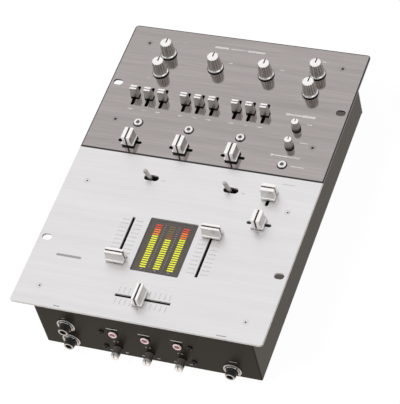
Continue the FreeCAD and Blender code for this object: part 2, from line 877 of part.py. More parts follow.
def rotary_form(prefix, depth):
    """The fixed half of a rotary control: a square body on its board with a bush round the shaft."""
    seat = f"-({depth})"
    shoulder = f"rotary_height - ({depth})"
    mouth = f"rotary_height + rotary_bush_height - ({depth})"
    base = block(f"{prefix}_rotary_base", "rotary_width", "rotary_width", seat, shoulder)
    bush = rod(f"{prefix}_rotary_bush", f"{prefix}_shaft_radius + rotary_bush_wall", shoulder, mouth)
    bore = rod(f"{prefix}_rotary_bore", f"{prefix}_shaft_radius + running_gap",
               f"{mouth} - rotary_bore_depth", mouth)
    return cut(f"{prefix}_rotary", fuse(f"{prefix}_rotary_blank", base, bush), bore)


def rotary_controls():
    bodies = []
    for prefix, places in (("big", big_knob_places()), ("small", SMALL_KNOBS)):
        knob = [knob_form(prefix), shaft_form(prefix, PLATE_BOARD)]
        rotary = rotary_form(prefix, PLATE_BOARD)
        for label, (x, y) in places.items():
            sub_part(label, knob, x, y, TOP)
            bodies.append(copy_of(rotary, x, y, TOP))
    knob = [knob_form("front"), shaft_form("front", FRONT_BOARD)]
    rotary = rotary_form("front", FRONT_BOARD)
    for side, x in FRONT_COLUMNS.items():
        sub_part(f"front_knob_{side}", knob, x, FRONT, FRONT_LOWER, TO_FRONT)
        bodies.append(copy_of(rotary, x, FRONT, FRONT_LOWER, TO_FRONT))
    sub_part("rotary_bodies", bodies)


# Slide controls
def tongue_form(name, body_height, wide, deep):
    """The steel tongue that joins a cap to its carriage through the plate's slot."""
    low = f"{body_height} - tongue_in_body - ({PLATE_BOARD})"
    return block(name, wide, deep, low, "hover + tongue_in_cap")


def cut_tongue_seat(body, wide, deep):
    seat = sketch_on(body, "XY_Plane", "hover")
    rectangle(seat, f"{wide} + 2 * press_gap", f"{deep} + 2 * press_gap")
    pocket(body, seat, "tongue_in_cap", ahead=True)


def eq_lever_form():
    """A tall lever cap, leaning in towards a top that is split by a groove."""
    body = new_body("eq_cap_form")
    sketch = sketch_on(body, "YZ_Plane")
    half_groove = "eq_groove_width / 2"
    groove_floor = "eq_cap_height - eq_groove_depth"
    polygon(sketch, [
        ("-eq_cap_base / 2", "hover"),
        ("eq_cap_base / 2", "hover"),
        ("eq_cap_top / 2", "eq_cap_height"),
        (half_groove, "eq_cap_height"),
        (half_groove, groove_floor),
        (f"-{half_groove}", groove_floor),
        (f"-{half_groove}", "eq_cap_height"),
        ("-eq_cap_top / 2", "eq_cap_height"),
    ])
    pad(body, sketch, "eq_cap_width", middle=True)
    cut_tongue_seat(body, "tongue_thickness", "tongue_width")
    return [body, tongue_form("eq_tongue", "mini_body_height", "tongue_thickness", "tongue_width")]


def fader_cap_form(prefix, body_height):
    """A cap that slides along x: a flat ridge with a line, scooped flanks and a ledge at the foot."""
    body = new_body(f"{prefix}_cap_form")
    sketch = sketch_on(body, "XZ_Plane")
    base, top, line = f"{prefix}_cap_base / 2", f"{prefix}_cap_top / 2", "cap_line_width / 2"
    height = f"{prefix}_cap_height"
    lip, shoulder = "hover + cap_lip", f"{height} - cap_shoulder"
    half = [(base, "hover"), (base, lip), (f"{base} - cap_ledge", lip), (top, shoulder), (top, height)]
    half += [(line, height), (line, f"{height} - cap_line_depth")]
    points = [(f"-({x})", z) for x, z in half] + half[::-1]
    draw_scooped(sketch, prefix, points)
    pad(body, sketch, f"{prefix}_cap_length", middle=True)
    for way, ahead in (("", True), ("-", False)):
        end = sketch_on(body, "XZ_Plane", f"{way}(-{prefix}_cap_length / 2)")
        foot = f"{lip} + cap_lip"
        rectangle(end, "cap_line_width", f"{height} - ({foot})", y=f"({height} + {foot}) / 2")
        pocket(body, end, "cap_line_depth", ahead)
    cut_tongue_seat(body, "tongue_width", "tongue_thickness")
    return [body, tongue_form(f"{prefix}_tongue", body_height, "tongue_width", "tongue_thickness")]


def draw_scooped(sketch, prefix, points):
    """The cap's section: the sides above its ledges bow inwards."""
    base, top = SIZES[f"{prefix}_cap_base"] / 2, SIZES[f"{prefix}_cap_top"] / 2
    line, hover = SIZES["cap_line_width"] / 2, SIZES["hover"]
    lip, high = hover + SIZES["cap_lip"], SIZES[f"{prefix}_cap_height"]
    shoulder, low = high - SIZES["cap_shoulder"], high - SIZES["cap_line_depth"]
    waist = base - SIZES["cap_ledge"]
    half = [(base, hover), (base, lip), (waist, lip), (top, shoulder), (top, high)]
    half += [(line, high), (line, low)]
    drawn = [FreeCAD.Vector(x, z, 0) for x, z in [(-x, z) for x, z in half] + half[::-1]]
    inwards = FreeCAD.Vector(SIZES["cap_shoulder"] / 2, 0, 0)
    bows = {2: inwards, len(points) - 4: -inwards}
    outline(sketch, points, drawn, bows)
    for index in bows:
        constrain(sketch, "Radius", (index,), "cap_scoop_radius", SIZES["cap_scoop_radius"])


def slide_body_form(prefix):
    """The fixed half of a slide control, longest along x, with a slot for the tongue."""
    bottom = f"-({PLATE_BOARD})"
    mouth = f"{prefix}_body_height - ({PLATE_BOARD})"
    blank = block(f"{prefix}_slide_blank", f"{prefix}_body_length", f"{prefix}_body_width", bottom, mouth)
    run = f"{prefix}_travel + tongue_width + 2 * travel_end_gap"
    way = block(f"{prefix}_slide_way", run, "tongue_thickness + 2 * running_gap",
                f"{mouth} - tongue_in_body - running_gap", mouth)
    return cut(f"{prefix}_slide_body", blank, way)


def slide_controls():
    bodies = []
    mini = slide_body_form("mini")
    lever = eq_lever_form()
    bands = ("low", "mid", "high")
    for index, (x, y) in enumerate(eq_places()):
        sub_part(f"eq_{bands[index % 3]}_lever_{index // 3 + 1}", lever, x, y, TOP)
        bodies.append(copy_of(mini, x, y, TOP, ACROSS))
    cap = fader_cap_form("small", "mini_body_height")
    sideways = dict(PAN_FADERS, curve_fader_front=("side_x", "-curve_row_front"))
    for label, (x, y) in sideways.items():
        sub_part(label, cap, x, y, TOP)
        bodies.append(copy_of(mini, x, y, TOP))
    sub_part("curve_fader_rear", cap, "side_x", "-curve_row_rear", TOP, ACROSS)
    bodies.append(copy_of(mini, "side_x", "-curve_row_rear", TOP, ACROSS))
    sub_part("mini_fader_bodies", bodies)
    long_cap = fader_cap_form("long", "long_body_height")
    long_body = slide_body_form("long")
    sub_part("line_fader_left", long_cap, "-line_x", "-line_row - long_travel / 2", TOP, ACROSS)
    sub_part("line_fader_right", long_cap, "line_x", "long_travel / 2 - line_row", TOP, ACROSS)
    sub_part("crossfader", long_cap, "-cross_rest", "-cross_row", TOP)
    long_bodies = [copy_of(long_body, x, "-line_row", TOP, ACROSS) for x in ("-line_x", "line_x")]
    long_bodies.append(copy_of(long_body, "0", "-cross_row", TOP))
    sub_part("long_fader_bodies", long_bodies)


# Push-buttons and toggles
def button_form(name, depth):
    """A round cap with a lamp lens in its middle and a stem down into its switch."""
    body = new_body(f"{name}_cap_form")
    stem_end = f"switch_height - stem_in_switch - ({depth})"
    lens_floor = "button_proud - lens_depth"
    turned(body, [
        ("0", stem_end),
        ("stem_radius", stem_end),
        ("stem_radius", "-button_skirt"),
        ("button_radius", "-button_skirt"),
        ("button_radius", "button_proud - button_edge"),
        ("button_radius - button_edge", "button_proud"),
        ("lens_radius + press_gap", "button_proud"),
        ("lens_radius + press_gap", lens_floor),
        ("0", lens_floor),
    ])
    return [body, rod(f"{name}_lens", "lens_radius", lens_floor, "button_proud - lens_sunk")]


def switch_form(name, depth):
    mouth = f"switch_height - ({depth})"
    blank = block(f"{name}_switch_blank", "switch_width", "switch_width", f"-({depth})", mouth)
    well = f"{mouth} - stem_in_switch - button_travel - running_gap"
    bore = rod(f"{name}_switch_well", "stem_radius + running_gap", well, mouth)
    return cut(f"{name}_switch", blank, bore)


def toggle_lever_form():
    """A bat lever on a ball, pointing up from its pivot."""
    ball = primitive("Sphere", "toggle_ball", Radius="toggle_ball")
    shank = "toggle_length - toggle_tip"
    bat = primitive("Cone", "toggle_bat", Radius1="toggle_neck", Radius2="toggle_tip", Height=shank)
    tip = primitive("Sphere", "toggle_end", z=shank, Radius="toggle_tip")
    return fuse("toggle_lever_form", ball, bat, tip)


def toggle_body_form():
    mouth = "-(plate_thickness + toggle_body_drop)"
    blank = block("toggle_blank", "toggle_body_length", "toggle_body_width", f"-({PLATE_BOARD})", mouth)
    socket_width = "2 * (toggle_ball + running_gap)"
    floor = "-(toggle_depth + toggle_ball + running_gap)"
    socket = block("toggle_socket", f"{socket_width} + toggle_swing", socket_width, floor, mouth)
    return cut("toggle_body", blank, socket)


def switches():
    plate_cap = button_form("plate_button", PLATE_BOARD)
    front_cap = button_form("front_button", FRONT_BOARD)
    plate_switch = switch_form("plate_button", PLATE_BOARD)
    front_switch = switch_form("front_button", FRONT_BOARD)
    bodies = []
    for label, (x, y) in PLATE_BUTTONS.items():
        sub_part(label, plate_cap, x, y, TOP)
        bodies.append(copy_of(plate_switch, x, y, TOP))
    for side, x in FRONT_COLUMNS.items():
        sub_part(f"front_button_{side}", front_cap, x, FRONT, FRONT_UPPER, TO_FRONT)
        bodies.append(copy_of(front_switch, x, FRONT, FRONT_UPPER, TO_FRONT))
    lever = toggle_lever_form()
    toggle_body = toggle_body_form()
    for label, (x, y) in TOGGLES.items():
        node = sub_part(label, [lever], x, y, f"{TOP} - toggle_depth", LEAN_LEFT)
        node.setExpression("Placement.Rotation.Angle", expr("toggle_lean"))
        bodies.append(copy_of(toggle_body, x, y, TOP))
    bodies.append(copy_of(rocker_case_form(), "mains_x", REAR, REAR_UPPER, TO_REAR))
    sub_part("switch_bodies", bodies)
    power_rocker()


def rocker_case_form():
    """The power switch's case: a rim on the panel and a box behind it, open towards the rocker."""
    rim_length = f"{ROCKER_CASE_LENGTH} + 2 * rocker_rim"
    rim_width = f"{ROCKER_CASE_WIDTH} + 2 * rocker_rim"
    rim = block("rocker_rim", rim_length, rim_width, "0", "rocker_rim_height")
    box = block("rocker_box", ROCKER_CASE_LENGTH, ROCKER_CASE_WIDTH, "-rocker_case_depth", "0")
    well = block("rocker_well", "rocker_length + 2 * rocker_side_gap", "rocker_width + 2 * rocker_side_gap",
                 "rocker_case_wall - rocker_case_depth", "rocker_rim_height")
    return cut("rocker_case", fuse("rocker_case_blank", rim, box), well)


def power_rocker():
    """A rocker with a crowned face and a keel, tipped about a pivot behind the panel's face."""
    body = new_body("rocker_form")
    sketch = sketch_on(body, "XZ_Plane")
    polygon(sketch, [
        ("0", "-rocker_keel"),
        ("rocker_length / 2", "0"),
        ("rocker_length / 2", "rocker_edge + rocker_depth"),
        ("0", "rocker_crown"),
        ("-rocker_length / 2", "rocker_edge + rocker_depth"),
        ("-rocker_length / 2", "0"),
    ])
    pad(body, sketch, "rocker_width", middle=True)
    tipped = copy_of(body, turn=TIP_OVER)
    tipped.setExpression("Placement.Rotation.Angle", expr("rocker_tilt"))
    sub_part("power_rocker", [tipped], "mains_x", f"{REAR} - rocker_depth", REAR_UPPER, TO_REAR)


# Level meter
def level_meter():
    window = node_body("meter_window")
    pane = sketch_on(window, "XY_Plane", UNDER)
    rectangle(pane, "meter_width - 2 * meter_fit", "meter_depth - 2 * meter_fit", y="-meter_y")
    raised = pad(window, pane, "plate_thickness - meter_sunk")
    doc.recompute()
    dress(window, "Fillet", raised, edges_where(raised, upright), "Radius", "meter_corner")
    rim = sketch_on(window, "XY_Plane", f"{UNDER} - meter_rim_height")
    rectangle(rim, "meter_width + 2 * meter_rim", "meter_depth + 2 * meter_rim", y="-meter_y")
    pad(window, rim, "meter_rim_height")
    lamp_top = f"{UNDER} - meter_rim_height - lamp_drop"
    lamp = block("lamp_form", "lamp_width", "lamp_depth", BOARD_TOP, lamp_top)
    columns = [f"{column - (LAMP_COLUMNS - 1) / 2} * lamp_columns" for column in range(LAMP_COLUMNS)]
    rows = [f"{row - (LAMP_ROWS - 1) / 2} * lamp_pitch - meter_y" for row in range(LAMP_ROWS)]
    sub_part("meter_lamps", [copy_of(lamp, x, y) for x in columns for y in rows])


# Circuit boards
def boards():
    width = "chassis_width - 2 * (flange + board_margin)"
    low = f"{BOARD_TOP} - board"
    rear_edge, seam_rear = "control_board_rear", "seam_y + board_seam_gap"
    seam_front, front_edge = "seam_y - board_seam_gap", "-fader_board_front"
    control = block("control_board", width, f"{rear_edge} - ({seam_rear})", low, BOARD_TOP,
                    y=f"({rear_edge} + {seam_rear}) / 2")
    fader = block("fader_board", width, f"{seam_front} - ({front_edge})", low, BOARD_TOP,
                  y=f"({seam_front} + {front_edge}) / 2")
    sub_part("control_boards", [control, fader])
    front_foot = "foot_height + front_board_foot"
    front_head = f"{front_foot} + front_board_height"
    front = block("front_board", "front_board_width", "board", front_foot, front_head,
                  y=f"{FRONT} + {FRONT_BOARD} + board / 2")
    rear_foot = "foot_height + rear_board_foot"
    rear_head = f"{rear_foot} + rear_board_height"
    phono_middle = f"phono_x - {(PHONO_COLUMNS - 1) / 2} * phono_pitch"
    rear = block("rear_board", "rear_board_width", "board", rear_foot, rear_head,
                 x=phono_middle, y=f"{REAR} - phono_block_depth - board / 2")
    sub_part("connector_boards", [front, rear])
    spacers()


def spacers():
    """Six-sided pillars that hang the boards under the plates and hold the front board off its wall."""
    def pillar(name, low, high):
        return primitive("Prism", name, z=low, Circumradius="spacer_radius", Height=f"{high} - ({low})")

    hanging = pillar("plate_spacer", BOARD_TOP, UNDER)
    behind = pillar("front_spacer", f"-({FRONT_BOARD})", "-screw_length")
    rows = ("spacer_rows_rear", "spacer_rows_middle", "-spacer_fader_rear", "-spacer_fader_front")
    places = [(x, y) for x in ("-spacer_x", "spacer_x") for y in rows]
    places += [("spacer_middle", "spacer_rows_rear"), ("spacer_middle", "spacer_rows_middle")]
    places += [("0", "-spacer_meter_rear"), ("0", "-spacer_meter_front")]
    pillars = [copy_of(hanging, x, y) for x, y in places]
    pillars += [copy_of(behind, x, FRONT, z, TO_FRONT) for x, z in front_screw_places()]
    sub_part("board_spacers", pillars)


# Sockets
def jack_sockets():
    body = new_body("jack_form")
    end = "jack_reach - jack_bore_length"
    turned(body, [
        ("0", "-jack_body_length"),
        ("jack_body_radius", "-jack_body_length"),
        ("jack_body_radius", "-sheet"),
        ("jack_barrel_radius", "-sheet"),
        ("jack_barrel_radius", "jack_neck"),
        ("jack_tip_radius", "jack_reach"),
        ("jack_bore", "jack_reach"),
        ("jack_bore", end),
        ("0", end),
    ])
    nut = new_body("nut_form")
    turned(nut, [
        ("jack_barrel_radius + press_gap", "0"),
        ("nut_radius", "0"),
        ("nut_radius", "nut_height - nut_edge"),
        ("nut_radius - nut_edge", "nut_height"),
        ("jack_barrel_radius + press_gap", "nut_height"),
    ])
    ring = new_body("jack_ring_form")
    turned(ring, [
        ("jack_bore", "jack_reach"),
        ("jack_tip_radius", "jack_reach"),
        ("jack_tip_radius", "jack_reach + jack_ring"),
        ("jack_bore", "jack_reach + jack_ring"),
    ])
    spots = [(x, FRONT, z, TO_FRONT) for x, z in FRONT_JACKS]
    spots += [(x, REAR, z, TO_REAR) for x, z in REAR_JACKS]
    sub_part("jack_sockets", [copy_of(body, *spot) for spot in spots])
    sub_part("jack_nuts", [copy_of(form, *spot) for spot in spots for form in (nut, ring)])


def phono_sockets():
    """Metal shells that stand through the panel, two to each moulded block behind it."""
    shell = new_body("phono_form")
    turned(shell, [
        ("0", "-sheet"),
        ("phono_radius", "-sheet"),
        ("phono_radius", "phono_reach"),
        ("phono_bore", "phono_reach"),
        ("phono_bore", "phono_reach - phono_bore_length"),
        ("0", "phono_reach - phono_bore_length"),
    ])
    pieces = [copy_of(shell, x, REAR, z, TO_REAR) for x, z in phono_places()]
    housing = block("phono_block", "phono_block_width", f"{REAR_PITCH} + phono_block_width",
                    "-phono_block_depth", "-sheet")
    for index in range(PHONO_COLUMNS):
        x = f"phono_x - {index} * phono_pitch"
        pieces.append(copy_of(housing, x, REAR, REAR_MIDDLE, TO_REAR))
    sub_part("phono_sockets", pieces)


def mains_inlet():
    rim = block("inlet_rim", "inlet_width + 2 * inlet_rim", "inlet_height + 2 * inlet_rim",
                "0", "inlet_rim_height")
    box = block("inlet_box", "inlet_width", "inlet_height", "-inlet_depth", "0")
    recess_floor = "inlet_rim_height - inlet_recess"
    well = block("inlet_well", "inlet_width - 2 * inlet_wall", "inlet_height - 2 * inlet_wall",
                 recess_floor, "inlet_rim_height")
    shell = cut("inlet_shell", fuse("inlet_blank", rim, box), well)
    pin = block("inlet_pin", "pin_width", "pin_depth", recess_floor, f"{recess_floor} + pin_length")
    spots = [("-pin_spread", "-pin_offset"), ("pin_spread", "-pin_offset"), ("0", "pin_offset")]
    pins = [copy_of(pin, x, y) for x, y in spots]
    sub_part("mains_inlet", [shell] + pins, "mains_x", REAR, REAR_LOWER, TO_REAR)


def earth_screw():
    body = new_body("earth_form")
    turned(body, [
        ("0", "-earth_length"),
        ("earth_shank", "-earth_length"),
        ("earth_shank", "running_gap"),
        ("earth_head_radius", "running_gap"),
        ("earth_head_radius", "earth_head_height"),
        ("0", "earth_head_height"),
    ])
    x, z = EARTH
    sub_part("earth_screw", [body], x, REAR, z, TO_REAR)


# Power supply
def power_supply():
    """A ring transformer and a supply board on posts, both standing on the case's floor."""
    ring = rod("coil_ring", "coil_radius", FLOOR, f"{FLOOR} + coil_height", "-coil_x", "coil_y")
    eye = rod("coil_eye", "coil_hole", FLOOR, f"{FLOOR} + coil_height", "-coil_x", "coil_y")
    board_low = f"{FLOOR} + supply_post"
    board_high = f"{board_low} + board"
    board = block("supply_board", "supply_width", "supply_depth", board_low, board_high,
                  "supply_x", "supply_y")
    pieces = [cut("coil", ring, eye), board]
    for number, (x_sign, y_sign) in enumerate(((1, 1), (1, -1), (-1, 1), (-1, -1))):
        x = f"supply_x + {x_sign} * (supply_width / 2 - supply_post_inset)"
        y = f"supply_y + {y_sign} * (supply_depth / 2 - supply_post_inset)"
        pieces.append(rod(f"supply_post_{number}", "spacer_radius", FLOOR, board_low, x, y))
    for number, step in enumerate((-1, 1)):
        x = f"supply_x + {step} * capacitor_pitch / 2"
        pieces.append(rod(f"capacitor_{number}", "capacitor_radius", board_high,
                          f"{board_high} + capacitor_height", x, "supply_y"))
    pieces.append(block("heat_sink", "sink_width", "sink_depth", board_high, f"{board_high} + sink_height",
                        "supply_x", "supply_y - sink_offset"))
    sub_part("power_supply", pieces)


def check_document():
    """Stop if a feature failed, a cut removed nothing or a sub-part is not sound."""
    for item in doc.Objects:
        if {"Invalid", "Error"} & set(item.State):
            raise RuntimeError(f"{item.Name} failed: {item.State}")
        if item.TypeId in ("PartDesign::Pocket", "PartDesign::Hole", "PartDesign::SubtractiveLoft"):
            if item.Shape.Volume >= item.BaseFeature.Shape.Volume - 1e-3:
                raise RuntimeError(f"{item.Name} cuts nothing")
    for item in sub_parts:
        if item.Shape.isNull() or not item.Shape.isValid():
            raise RuntimeError(f"{item.Label} has no sound shape")


rear_plate()
front_plate()
chassis_tray()
rear_panel()
feet()
screws()
rotary_controls()
slide_controls()
switches()
level_meter()
boards()
jack_sockets()
phono_sockets()
mains_inlet()
earth_screw()
power_supply()
doc.recompute()
check_document()

os.makedirs("parts", exist_ok=True)
for item in sub_parts:
    item.Shape.exportStep(f"parts/{item.Label}.step")
print(f"{len(sub_parts)} sub-parts written")
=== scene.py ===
import math

import bmesh
import bpy
from mathutils import Matrix, Vector


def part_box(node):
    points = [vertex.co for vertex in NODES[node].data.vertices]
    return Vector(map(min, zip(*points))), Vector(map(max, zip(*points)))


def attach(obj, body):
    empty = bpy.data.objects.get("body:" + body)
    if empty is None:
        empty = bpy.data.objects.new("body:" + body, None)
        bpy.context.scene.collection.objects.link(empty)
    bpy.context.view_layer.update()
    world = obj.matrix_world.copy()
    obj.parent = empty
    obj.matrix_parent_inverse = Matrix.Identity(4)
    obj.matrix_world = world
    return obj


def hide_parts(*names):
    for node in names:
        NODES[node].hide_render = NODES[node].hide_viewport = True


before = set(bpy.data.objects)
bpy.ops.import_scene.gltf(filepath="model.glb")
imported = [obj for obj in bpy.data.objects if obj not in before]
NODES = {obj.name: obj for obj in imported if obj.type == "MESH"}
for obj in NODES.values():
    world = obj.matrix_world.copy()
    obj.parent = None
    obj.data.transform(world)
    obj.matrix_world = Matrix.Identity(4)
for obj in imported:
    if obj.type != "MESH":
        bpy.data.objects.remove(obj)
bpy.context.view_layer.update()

MM = 0.001
PLATE_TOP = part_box("front_plate")[1].z / MM
FRONT_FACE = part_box("chassis_tray")[0].y / MM
REAR_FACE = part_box("rear_panel")[1].y / MM
# Sizes in mm that several pieces share: the gap under knobs and caps, a print's thickness, a channel's place
HOVER = 0.6
INK = 0.05
CHANNEL_X = 41.3
# An edge that turns further than this stays crisp in the shading
CRISP = math.radians(34)


def rotated(degrees, axis):
    return Matrix.Rotation(math.radians(degrees), 4, axis)


# Turns that lay a piece across the plates, or point its z axis out of the front wall, rear panel or floor
UPRIGHT = Matrix()
ACROSS = rotated(90, "Z")
TO_FRONT = rotated(90, "X")
TO_REAR = rotated(180, "Z") @ TO_FRONT
HEAD_DOWN = rotated(180, "X")

# Brushed plates: cells in mm of the hairlines and of the slow clouds below them
HAIRLINE = (45, 0.7, 0.7)
CLOUD = (200, 9, 9)
# Nearly all values of a noise lie between these two
NOISE_LOW, NOISE_HIGH = 0.3, 0.7


# Finishes
def linear(code):
    """The linear colour of an sRGB hex value."""
    shares = [int(code[index:index + 2], 16) / 255 for index in (1, 3, 5)]
    return [s / 12.92 if s <= 0.04045 else ((s + 0.055) / 1.055) ** 2.4 for s in shares] + [1.0]


def add(tree, kind, inputs=None, **settings):
    """Add a node with its settings; an input is given a value, or a socket to link to."""
    node = tree.nodes.new(f"ShaderNode{kind}")
    for name, value in settings.items():
        setattr(node, name, value)
    for name, value in (inputs or {}).items():
        if isinstance(value, bpy.types.NodeSocket):
            tree.links.new(value, node.inputs[name])
        else:
            node.inputs[name].default_value = value
    return node


def blank(name):
    """A material without nodes, and its tree."""
    material = bpy.data.materials.new(name)
    material.use_nodes = True
    material.node_tree.nodes.clear()
    return material, material.node_tree


def repeats(cell):
    """How often a cell of so many mm along each axis fits into a metre."""
    return [1 / (size * MM) for size in cell]


def grained(name, light, dark, grain, relief, rough, along=None, **sockets):
    """A finish whose colour, roughness and relief follow one grain, in mm, which may be longer along z."""
    material, tree = blank(name)
    spot = add(tree, "TexCoord")
    scale = repeats((grain, grain, along or grain))
    cells = add(tree, "Mapping", {"Vector": spot.outputs["Object"], "Scale": scale})
    noise = add(tree, "TexNoise", {"Vector": cells.outputs[0], "Scale": 1.0, "Detail": 3.0})
    even = add(tree, "MapRange", {"Value": noise.outputs[0], "From Min": NOISE_LOW, "From Max": NOISE_HIGH})
    colour = add(tree, "Mix", {0: even.outputs[0], 6: linear(dark), 7: linear(light)}, data_type="RGBA")
    satin = add(tree, "MapRange", {"Value": even.outputs[0], "To Min": rough[0], "To Max": rough[1]})
    bump = add(tree, "Bump", {"Height": noise.outputs[0], "Strength": 0.6, "Distance": relief * MM})
    inputs = {"Base Color": colour.outputs[2], "Roughness": satin.outputs[0], "Normal": bump.outputs[0]}
    inputs.update({socket.replace("_", " "): value for socket, value in sockets.items()})
    shader = add(tree, "BsdfPrincipled", inputs)
    add(tree, "OutputMaterial", {"Surface": shader.outputs[0]})
    return material


def brushed(node, name, light, dark, edge, rim, rough):
    """A plate brushed along x, with one other colour for its cut edges and for a rim of so many mm."""
    low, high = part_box(node)
    material, tree = blank(name)
    spot = add(tree, "TexCoord").outputs["Object"]
    hair = add(tree, "Mapping", {"Vector": spot, "Scale": repeats(HAIRLINE)})
    hairline = add(tree, "TexNoise", {
        "Vector": hair.outputs[0], "Scale": 1.0, "Detail": 4.0, "Roughness": 0.7})
    band = add(tree, "Mapping", {"Vector": spot, "Scale": repeats(CLOUD)})
    cloud = add(tree, "TexNoise", {"Vector": band.outputs[0], "Scale": 1.0, "Detail": 2.0})
    both = add(tree, "Mix", {0: 0.4, 2: hairline.outputs[0], 3: cloud.outputs[0]})
    even = add(tree, "MapRange", {"Value": both.outputs[0], "From Min": NOISE_LOW, "From Max": NOISE_HIGH})
    face = add(tree, "Mix", {0: even.outputs[0], 6: linear(dark), 7: linear(light)}, data_type="RGBA")
    inward = add(tree, "VectorMath", {0: spot, 1: (low + high) / 2}, operation="SUBTRACT")
    away = add(tree, "VectorMath", {0: inward.outputs[0]}, operation="ABSOLUTE")
    reach = add(tree, "SeparateXYZ", {0: away.outputs[0]})
    half = (high - low) / 2
    # Faces near the rim, and faces that lean away from up, take the edge colour: on the silver plate a
    # painted shade on its cut edges
    side = add(tree, "Math", {0: reach.outputs[0], 1: half.x - rim * MM}, operation="GREATER_THAN")
    end = add(tree, "Math", {0: reach.outputs[1], 1: half.y - rim * MM}, operation="GREATER_THAN")
    outline = add(tree, "Math", {0: side.outputs[0], 1: end.outputs[0]}, operation="MAXIMUM")
    shape = add(tree, "NewGeometry")
    lean = add(tree, "SeparateXYZ", {0: shape.outputs["True Normal"]})
    bevel = add(tree, "Math", {0: lean.outputs[2], 1: 0.9}, operation="LESS_THAN")
    edged = add(tree, "Math", {0: outline.outputs[0], 1: bevel.outputs[0]}, operation="MAXIMUM")
    colour = add(tree, "Mix", {0: edged.outputs[0], 6: face.outputs[2], 7: linear(edge)}, data_type="RGBA")
    satin = add(tree, "MapRange", {"Value": even.outputs[0], "To Min": rough[0], "To Max": rough[1]})
    bump = add(tree, "Bump", {"Height": hairline.outputs[0], "Strength": 0.3, "Distance": 0.03 * MM})
    bare = add(tree, "Math", {0: 1.0, 1: edged.outputs[0]}, operation="SUBTRACT")
    shader = add(tree, "BsdfPrincipled", {
        "Base Color": colour.outputs[2], "Roughness": satin.outputs[0], "Normal": bump.outputs[0],
        "Metallic": bare.outputs[0]})
    add(tree, "OutputMaterial", {"Surface": shader.outputs[0]})
    return material


def lit_lamp(name, colour, shade, strength):
    """A moulded lamp bar that glows a little unevenly."""
    material, tree = blank(name)
    spot = add(tree, "TexCoord")
    cells = add(tree, "Mapping", {"Vector": spot.outputs["Object"], "Scale": repeats((3, 0.9, 2))})
    noise = add(tree, "TexNoise", {"Vector": cells.outputs[0], "Scale": 1.0, "Detail": 1.0})
    glow = add(tree, "Mix", {0: noise.outputs[0], 6: linear(shade), 7: linear(colour)}, data_type="RGBA")
    shader = add(tree, "BsdfPrincipled", {
        "Base Color": linear(shade), "Roughness": 0.4, "Emission Color": glow.outputs[2],
        "Emission Strength": strength})
    add(tree, "OutputMaterial", {"Surface": shader.outputs[0]})
    return material


# Brushed and clear anodised aluminium: a pale satin face with hairlines, a little darker on its cut edges, a
# painted shade.
SILVER_PLATE = brushed("front_plate", "brushed_silver_aluminium", "#EDEBEC", "#DFDDDE", "#C9C5C2", 0.0,
                       (0.34, 0.44))
# Brushed and grey anodised aluminium: a warm grey that mirrors the knobs, nearly black along its rim.
GREY_PLATE = brushed("rear_plate", "brushed_grey_aluminium", "#B7B0AF", "#9A9493", "#181615", 1.3,
                     (0.08, 0.13))
# Powder-coated steel: a soft black with a fine orange peel, paler where it is seen along its face.
BLACK_STEEL = grained("powder_coated_steel", "#262219", "#181510", 0.9, 0.03, (0.3, 0.4), IOR=1.22,
                      Specular_Tint=linear("#F6E9E2"))
# Moulded rubber: dull and slightly dusty.
RUBBER = grained("moulded_rubber", "#2A2A29", "#1B1B1A", 0.6, 0.06, (0.75, 0.9))
# Screws plated to match their plates: a quiet grey and a quiet silver.
GREY_SCREW = grained("grey_plated_screw", "#A9A3A2", "#938D8C", 0.8, 0.01, (0.25, 0.35), Metallic=1.0)
SILVER_SCREW = grained("silver_plated_screw", "#E4E2E1", "#D3D1D0", 0.8, 0.01, (0.3, 0.4), Metallic=1.0)
# Black oxide on steel: near black with a dull shine; the same black is painted shade in the groove and
# notches of the jacks' nuts.
BLACK_OXIDE_AND_SHADE = grained("black_oxide_steel_and_shade", "#1F1D1C", "#141312", 0.7, 0.02, (0.35, 0.5), Metallic=0.3)
# Chrome plate of the jacks' nuts and rings: a mirror with the faintest polishing haze.
CHROME = grained("chrome_plate", "#CCCAC8", "#B2B0AE", 2, 0.005, (0.08, 0.16), Metallic=1.0)
# Polished steel of the toggle levers: a slightly duller mirror than chrome.
TOGGLE_STEEL = grained("polished_toggle_steel", "#C8C5C2", "#ACA9A6", 2, 0.005, (0.1, 0.18), Metallic=1.0)
# Nickel plate on brass: bright and slightly warm.
NICKEL = grained("nickel_plate", "#CFC9BE", "#B5AFA4", 1.5, 0.01, (0.2, 0.32), Metallic=1.0)
# Moulded black nylon: fine matt grain.
BLACK_NYLON = grained("moulded_black_nylon", "#232120", "#171615", 0.5, 0.03, (0.4, 0.55))
# Phenolic and sheet-steel control bodies, seen only through slots: dark and matt.
CONTROL_BODY = grained("black_control_body", "#191817", "#0F0E0E", 0.8, 0.03, (0.6, 0.75))
# Silver-sprayed ABS: a dull metallic grey on the flanks of knobs and caps.
SILVER_ABS = grained("silver_sprayed_abs", "#CECAC6", "#B0ACA7", 0.35, 0.01, (0.3, 0.42), along=1.5,
                     Metallic=0.85)
# The same spray painted paler, a lit copy of it, for the caps on the silver plate and the front knobs.
PALE_LIT_ABS = grained("silver_abs_painted_paler", "#DEDBD8", "#D4D1CE", 0.35, 0.004, (0.34, 0.4), along=1.5,
                   Metallic=0.55)
# The same spray painted near white, a painted highlight, on the tops of knobs and caps and on the caps'
# ends.
HIGHLIGHT_ABS = grained("silver_abs_painted_highlight", "#FFFCFB", "#F2EEEC", 0.5, 0.005, (0.3, 0.4), Metallic=0.5)
# The same spray polished, for the large knobs' collars and the rings of the buttons on the plate.
POLISHED_ABS = grained("polished_sprayed_abs", "#F6F4F2", "#EAE7E5", 0.5, 0.003, (0.14, 0.2), Metallic=1.0)
